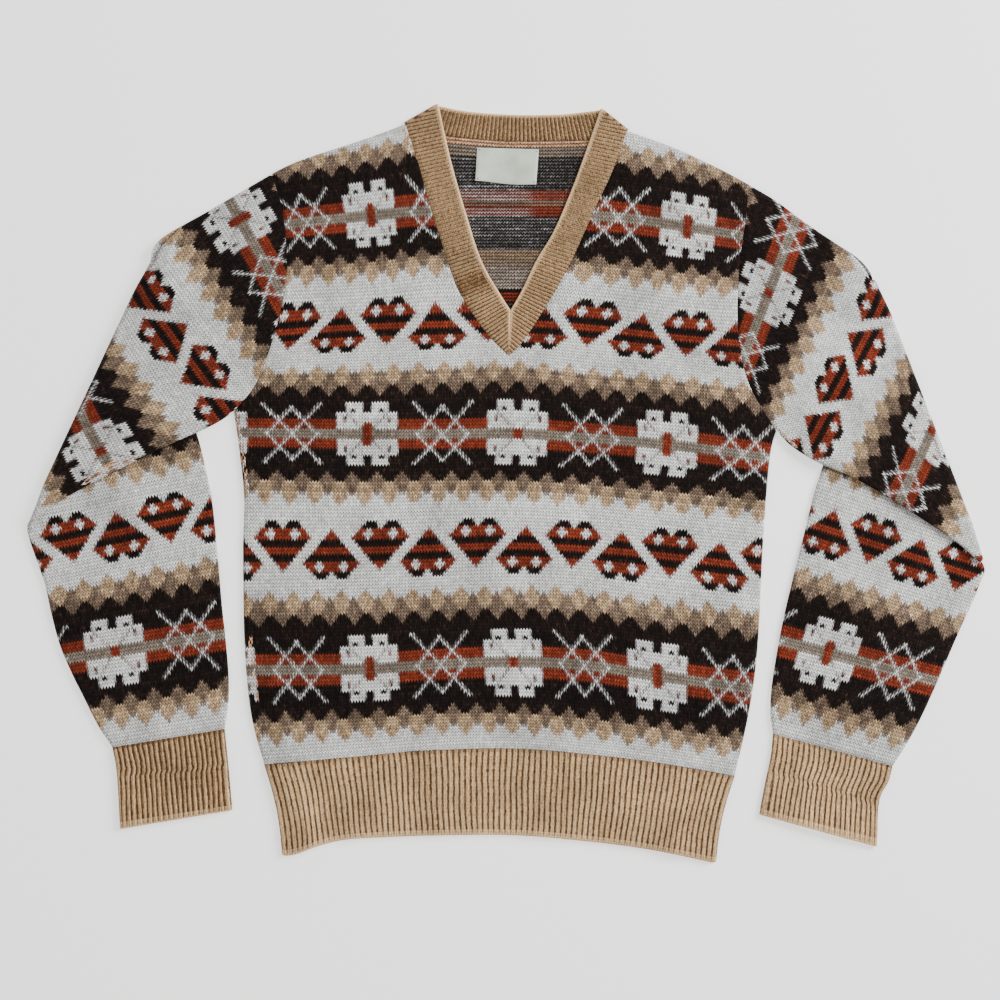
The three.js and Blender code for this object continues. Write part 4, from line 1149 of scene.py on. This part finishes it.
def knitted_wool(name, hole_light, leg_light, row_power, fibre_size, sheen):
    """Knitted wool and acrylic yarn: matt, with a faint pale halo of loose fibres at a grazing
    angle, a painted shadow along each leg of a stitch with a painted highlight on its crest,
    painted shade in the hole where four stitches meet, broad areas of painted light and shade,
    and strands that are never one even colour. hole_light and leg_light are how much light is
    left in the holes and round the legs, and row_power how broad the shadow from row to row is.
    A real ply is about 0.3 mm thick: its mottle is drawn at fibre_size, in metres, so that it shows."""
    material, tree = new_material(name)
    yarn = add_node(tree, "ShaderNodeAttribute", attribute_name="yarn").outputs["Color"]
    marks = add_node(tree, "ShaderNodeUVMap", uv_map="stitches").outputs[0]
    ripples = []
    for way, period, power in (("X", 0.5, 0.3), ("X", 1, 0.5), ("Y", 1, row_power)):
        ripple = {"Vector": marks, "Scale": band_scale(period)}
        wave = add_node(tree, "ShaderNodeTexWave", ripple, bands_direction=way).outputs["Fac"]
        ripples.append(add_node(tree, "ShaderNodeMath", {0: wave, 1: power}, operation="POWER").outputs[0])
    legs, stitches, rows = ripples
    holes = add_node(tree, "ShaderNodeMath", {0: stitches, 1: rows}, operation="MAXIMUM").outputs[0]
    relief = add_node(tree, "ShaderNodeMath", {0: legs, 1: rows}, operation="MULTIPLY").outputs[0]
    place = add_node(tree, "ShaderNodeTexCoord").outputs["Object"]
    hairy = {"Vector": place, "Scale": 1 / fibre_size, "Detail": 3.0, "Roughness": 0.7}
    fibres = add_node(tree, "ShaderNodeTexNoise", hairy).outputs["Fac"]
    # Broad areas of painted light and shade, which stand in for the soft light falling over the laid cloth.
    broad = {"Vector": place, "Scale": 1 / LIGHT_PATCH_SIZE, "Detail": 2.0}
    painted_light_patches = add_node(tree, "ShaderNodeTexNoise", broad).outputs["Fac"]
    light = 1.0
    for height, low, high, least, most in (
        (fibres, 0.3, 0.7, 0.7, 1.28), (painted_light_patches, 0.3, 0.7, 0.8, 1.18), (relief, 0, 1, leg_light, 1.4),
        (holes, 0, 1, hole_light, 1),
    ):
        limits = {"Value": height, "From Min": low, "From Max": high, "To Min": least, "To Max": most}
        shade = add_node(tree, "ShaderNodeMapRange", limits).outputs[0]
        light = add_node(tree, "ShaderNodeMath", {0: light, 1: shade}, operation="MULTIPLY").outputs[0]
    lit = add_node(tree, "ShaderNodeVectorMath", {0: yarn, "Scale": light}, operation="SCALE").outputs[0]
    fuzz = {0: fibres, 1: 0.5, 2: relief}
    fuzz = add_node(tree, "ShaderNodeMath", fuzz, operation="MULTIPLY_ADD").outputs[0]
    furrows = {"Height": fuzz, "Distance": settings().stitch_depth, "Strength": 0.8}
    bump = add_node(tree, "ShaderNodeBump", furrows).outputs[0]
    shader = add_node(
        tree, "ShaderNodeBsdfPrincipled",
        {
            "Base Color": lit, "Normal": bump, "Roughness": 0.9, "IOR": 1.5, "Specular IOR Level": 0.12,
            "Sheen Weight": sheen, "Sheen Roughness": 0.45,
        },
    ).outputs[0]
    add_node(tree, "ShaderNodeOutputMaterial", {"Surface": shader})
    return material


def fair_isle_wool():
    """Machine-knitted stranded colourwork, with painted shade in the open holes between its stitches."""
    return knitted_wool("fair_isle_wool_knit", 0.22, 0.34, 0.45, 0.0016, 0.03)


def rib_wool():
    """The rib's marled yarn, knitted more closely."""
    return knitted_wool("marled_wool_rib_knit", 0.7, 0.8, 0.1, 0.0014, 0.04)


def build_panel(node, outline, wall, seed):
    """Knits the front or the back. The back has its inner side too."""
    cloth = Cloth()
    is_back = node == "back"
    knit(cloth, Lay(BODY_COLUMNS, BODY_LAY), (-97, 112), (-96, 94), outline, wall, 21, seed, is_back)
    if is_back:
        purl_side(cloth, 13)
    made = cloth.piece(f"{node}_panel", fair_isle_wool(), node, "fair_isle_knit")


def build_sleeve(name, form, upper, lower, seed):
    """Knits a sleeve as its outer wall, its forearm's upper wall and its upper arm's lower wall.
    upper and lower hold an arm's lay, its columns and the shifts of its hearts and snowflakes."""
    cloth = Cloth()
    for arm, rows, outline, wall, order in (
        (upper, (-110, 90), form.outside_outline, form.outside, 0),
        (lower, (-100, 60), form.lower_outline, form.forearm, 1),
        (upper, (-60, 90), form.upper_outline, form.hidden, 2),
    ):
        lay, columns, shift, flakes = arm
        lay = Lay(SLEEVE_COLUMNS, lay)
        knit(cloth, lay, rows, columns, outline, wall, shift, seed + order, wall == form.hidden, flakes)
    made = cloth.piece(f"{name}_tube", fair_isle_wool(), name, "fair_isle_knit")


class JUMPER_OT_front(bpy.types.Operator):
    """Knit the front panel with its V neck"""

    bl_idname = "jumper.front"
    bl_label = "Front Panel"

    def execute(self, context):
        build_panel("front", FRONT_OUTLINE, front_height, 11)
        return {"FINISHED"}


class JUMPER_OT_back(bpy.types.Operator):
    """Knit the back panel, with its inner side where the neck shows it"""

    bl_idname = "jumper.back"
    bl_label = "Back Panel"

    def execute(self, context):
        build_panel("back", BACK_OUTLINE, back_outside, 12)
        return {"FINISHED"}


class JUMPER_OT_sleeves(bpy.types.Operator):
    """Knit both sleeves, folded at the elbow"""

    bl_idname = "jumper.sleeves"
    bl_label = "Sleeves"

    def execute(self, context):
        armhole = moved(SEAMS["armhole_left"][::-1], -SEAM)
        form = Sleeve(armhole, UPPER_TOP_LEFT, UPPER_LIP_LEFT, LOWER_INNER_LEFT, LOWER_OUTER_LEFT, 2.7)
        upper, lower = (UPPER_LAY_LEFT, (-30, 90), 3, 48), (LOWER_LAY_LEFT, (-40, 70), -10, 0)
        build_sleeve("sleeve_left", form, upper, lower, 21)
        armhole = moved(SEAMS["armhole_right"][::-1], SEAM)
        form = Sleeve(armhole, UPPER_TOP_RIGHT, UPPER_LIP_RIGHT, LOWER_INNER_RIGHT, LOWER_OUTER_RIGHT, 0.5)
        upper, lower = (UPPER_LAY_RIGHT, (-70, 45), -13, 0), (LOWER_LAY_RIGHT, (-40, 70), 3, 48)
        build_sleeve("sleeve_right", form, upper, lower, 31)
        return {"FINISHED"}


class JUMPER_OT_ribs(bpy.types.Operator):
    """Knit the hem ribs, both cuffs and the neckband"""

    bl_idname = "jumper.ribs"
    bl_label = "Ribs"

    def execute(self, context):
        build_hem()
        # The left cuff's tint darkens its colours as painted shade.
        build_cuff("cuff_left", CUFF_LEFT, 22, lambda u: 0.47 + 0.05 * np.sin(3 * u), 51, -0.2)
        build_cuff("cuff_right", CUFF_RIGHT, 23, lambda u: 0.62 + 0.2 * (u - 0.5), 53, 0)
        build_neckband()
        return {"FINISHED"}


class JUMPER_OT_label(bpy.types.Operator):
    """Sew in the blank neck label"""

    bl_idname = "jumper.label"
    bl_label = "Neck Label"

    def execute(self, context):
        build_label()
        return {"FINISHED"}


def build_floor(scene):
    """A plain floor in matt white paint: even and pale, with no gloss. It gives some light of its
    own, as the lit backdrop of a product photo does."""
    signs = ((-1, -1), (1, -1), (1, 1), (-1, 1))
    corners = [(x * FLOOR_HALF, y * FLOOR_HALF, -FLOOR_DROP) for x, y in signs]
    mesh = bpy.data.meshes.new("floor")
    mesh.from_pydata(corners, [], [(0, 1, 2, 3)])
    floor = bpy.data.objects.new("floor", mesh)
    scene.collection.objects.link(floor)
    material, tree = new_material("plain_painted_floor")
    paint = (*settings().floor, 1)
    shader = add_node(
        tree, "ShaderNodeBsdfPrincipled",
        {"Base Color": paint, "Roughness": 0.8, "Emission Color": paint, "Emission Strength": 1.0},
    ).outputs[0]
    add_node(tree, "ShaderNodeOutputMaterial", {"Surface": shader})
    floor.data.materials.append(material)


def area_light(name, place, size, power, tint):
    """A square soft light that faces the jumper."""
    data = bpy.data.lights.new(name, "AREA")
    data.size = size
    data.energy = power
    data.color = tint
    made = bpy.data.objects.new(name, data)
    bpy.context.scene.collection.objects.link(made)
    made.location = place
    made.rotation_euler = (-made.location).to_track_quat("-Z", "Y").to_euler()


def build_camera(scene):
    """A camera straight over the middle of the photo, which frames what the photo frames."""
    data = bpy.data.cameras.new("camera")
    camera = bpy.data.objects.new("camera", data)
    scene.collection.objects.link(camera)
    data.sensor_width = 36
    height = settings().camera_height
    data.lens = data.sensor_width * height / (PHOTO_SIDE * PIXEL * MM)
    data.clip_end = 50
    centre = from_photo([PHOTO_SIDE / 2, PHOTO_SIDE / 2]) + SHIFT
    camera.location = (centre[0] * MM, centre[1] * MM, height)
    scene.camera = camera


class JUMPER_OT_stage(bpy.types.Operator):
    """Set up the floor, the studio light and the camera over the jumper"""

    bl_idname = "jumper.stage"
    bl_label = "Stage"

    def execute(self, context):
        scene = context.scene
        build_floor(scene)

        world = bpy.data.worlds.new("studio")
        world.use_nodes = True
        sky = world.node_tree.nodes["Background"].inputs
        sky["Color"].default_value = (1, 1, 1, 1)
        sky["Strength"].default_value = SKY_LIGHT
        scene.world = world
        area_light("key_light", *KEY_LIGHT)
        area_light("fill_light", *FILL_LIGHT)

        build_camera(scene)
        return {"FINISHED"}


class JUMPER_PT_panel(bpy.types.Panel):
    """The jumper's pieces, in the order in which they are made"""

    bl_idname = "JUMPER_PT_panel"
    bl_label = "Fair Isle Jumper"
    bl_space_type = "VIEW_3D"
    bl_region_type = "UI"
    bl_category = "Jumper"

    def draw(self, context):
        for operator in OPERATORS:
            self.layout.operator(operator.bl_idname)


OPERATORS = (
    JUMPER_OT_back, JUMPER_OT_front, JUMPER_OT_sleeves, JUMPER_OT_ribs, JUMPER_OT_label, JUMPER_OT_stage,
)
CLASSES = (JumperSettings, *OPERATORS, JUMPER_PT_panel)


def register():
    for cls in CLASSES:
        bpy.utils.register_class(cls)
    bpy.types.Scene.jumper = bpy.props.PointerProperty(type=JumperSettings)


def unregister():
    del bpy.types.Scene.jumper
    for cls in reversed(CLASSES):
        bpy.utils.unregister_class(cls)


def main():
    register()
    bpy.ops.jumper.back()
    bpy.ops.jumper.front()
    bpy.ops.jumper.sleeves()
    bpy.ops.jumper.ribs()
    bpy.ops.jumper.label()
    bpy.ops.jumper.stage()


if __name__ == "__main__":
    main()
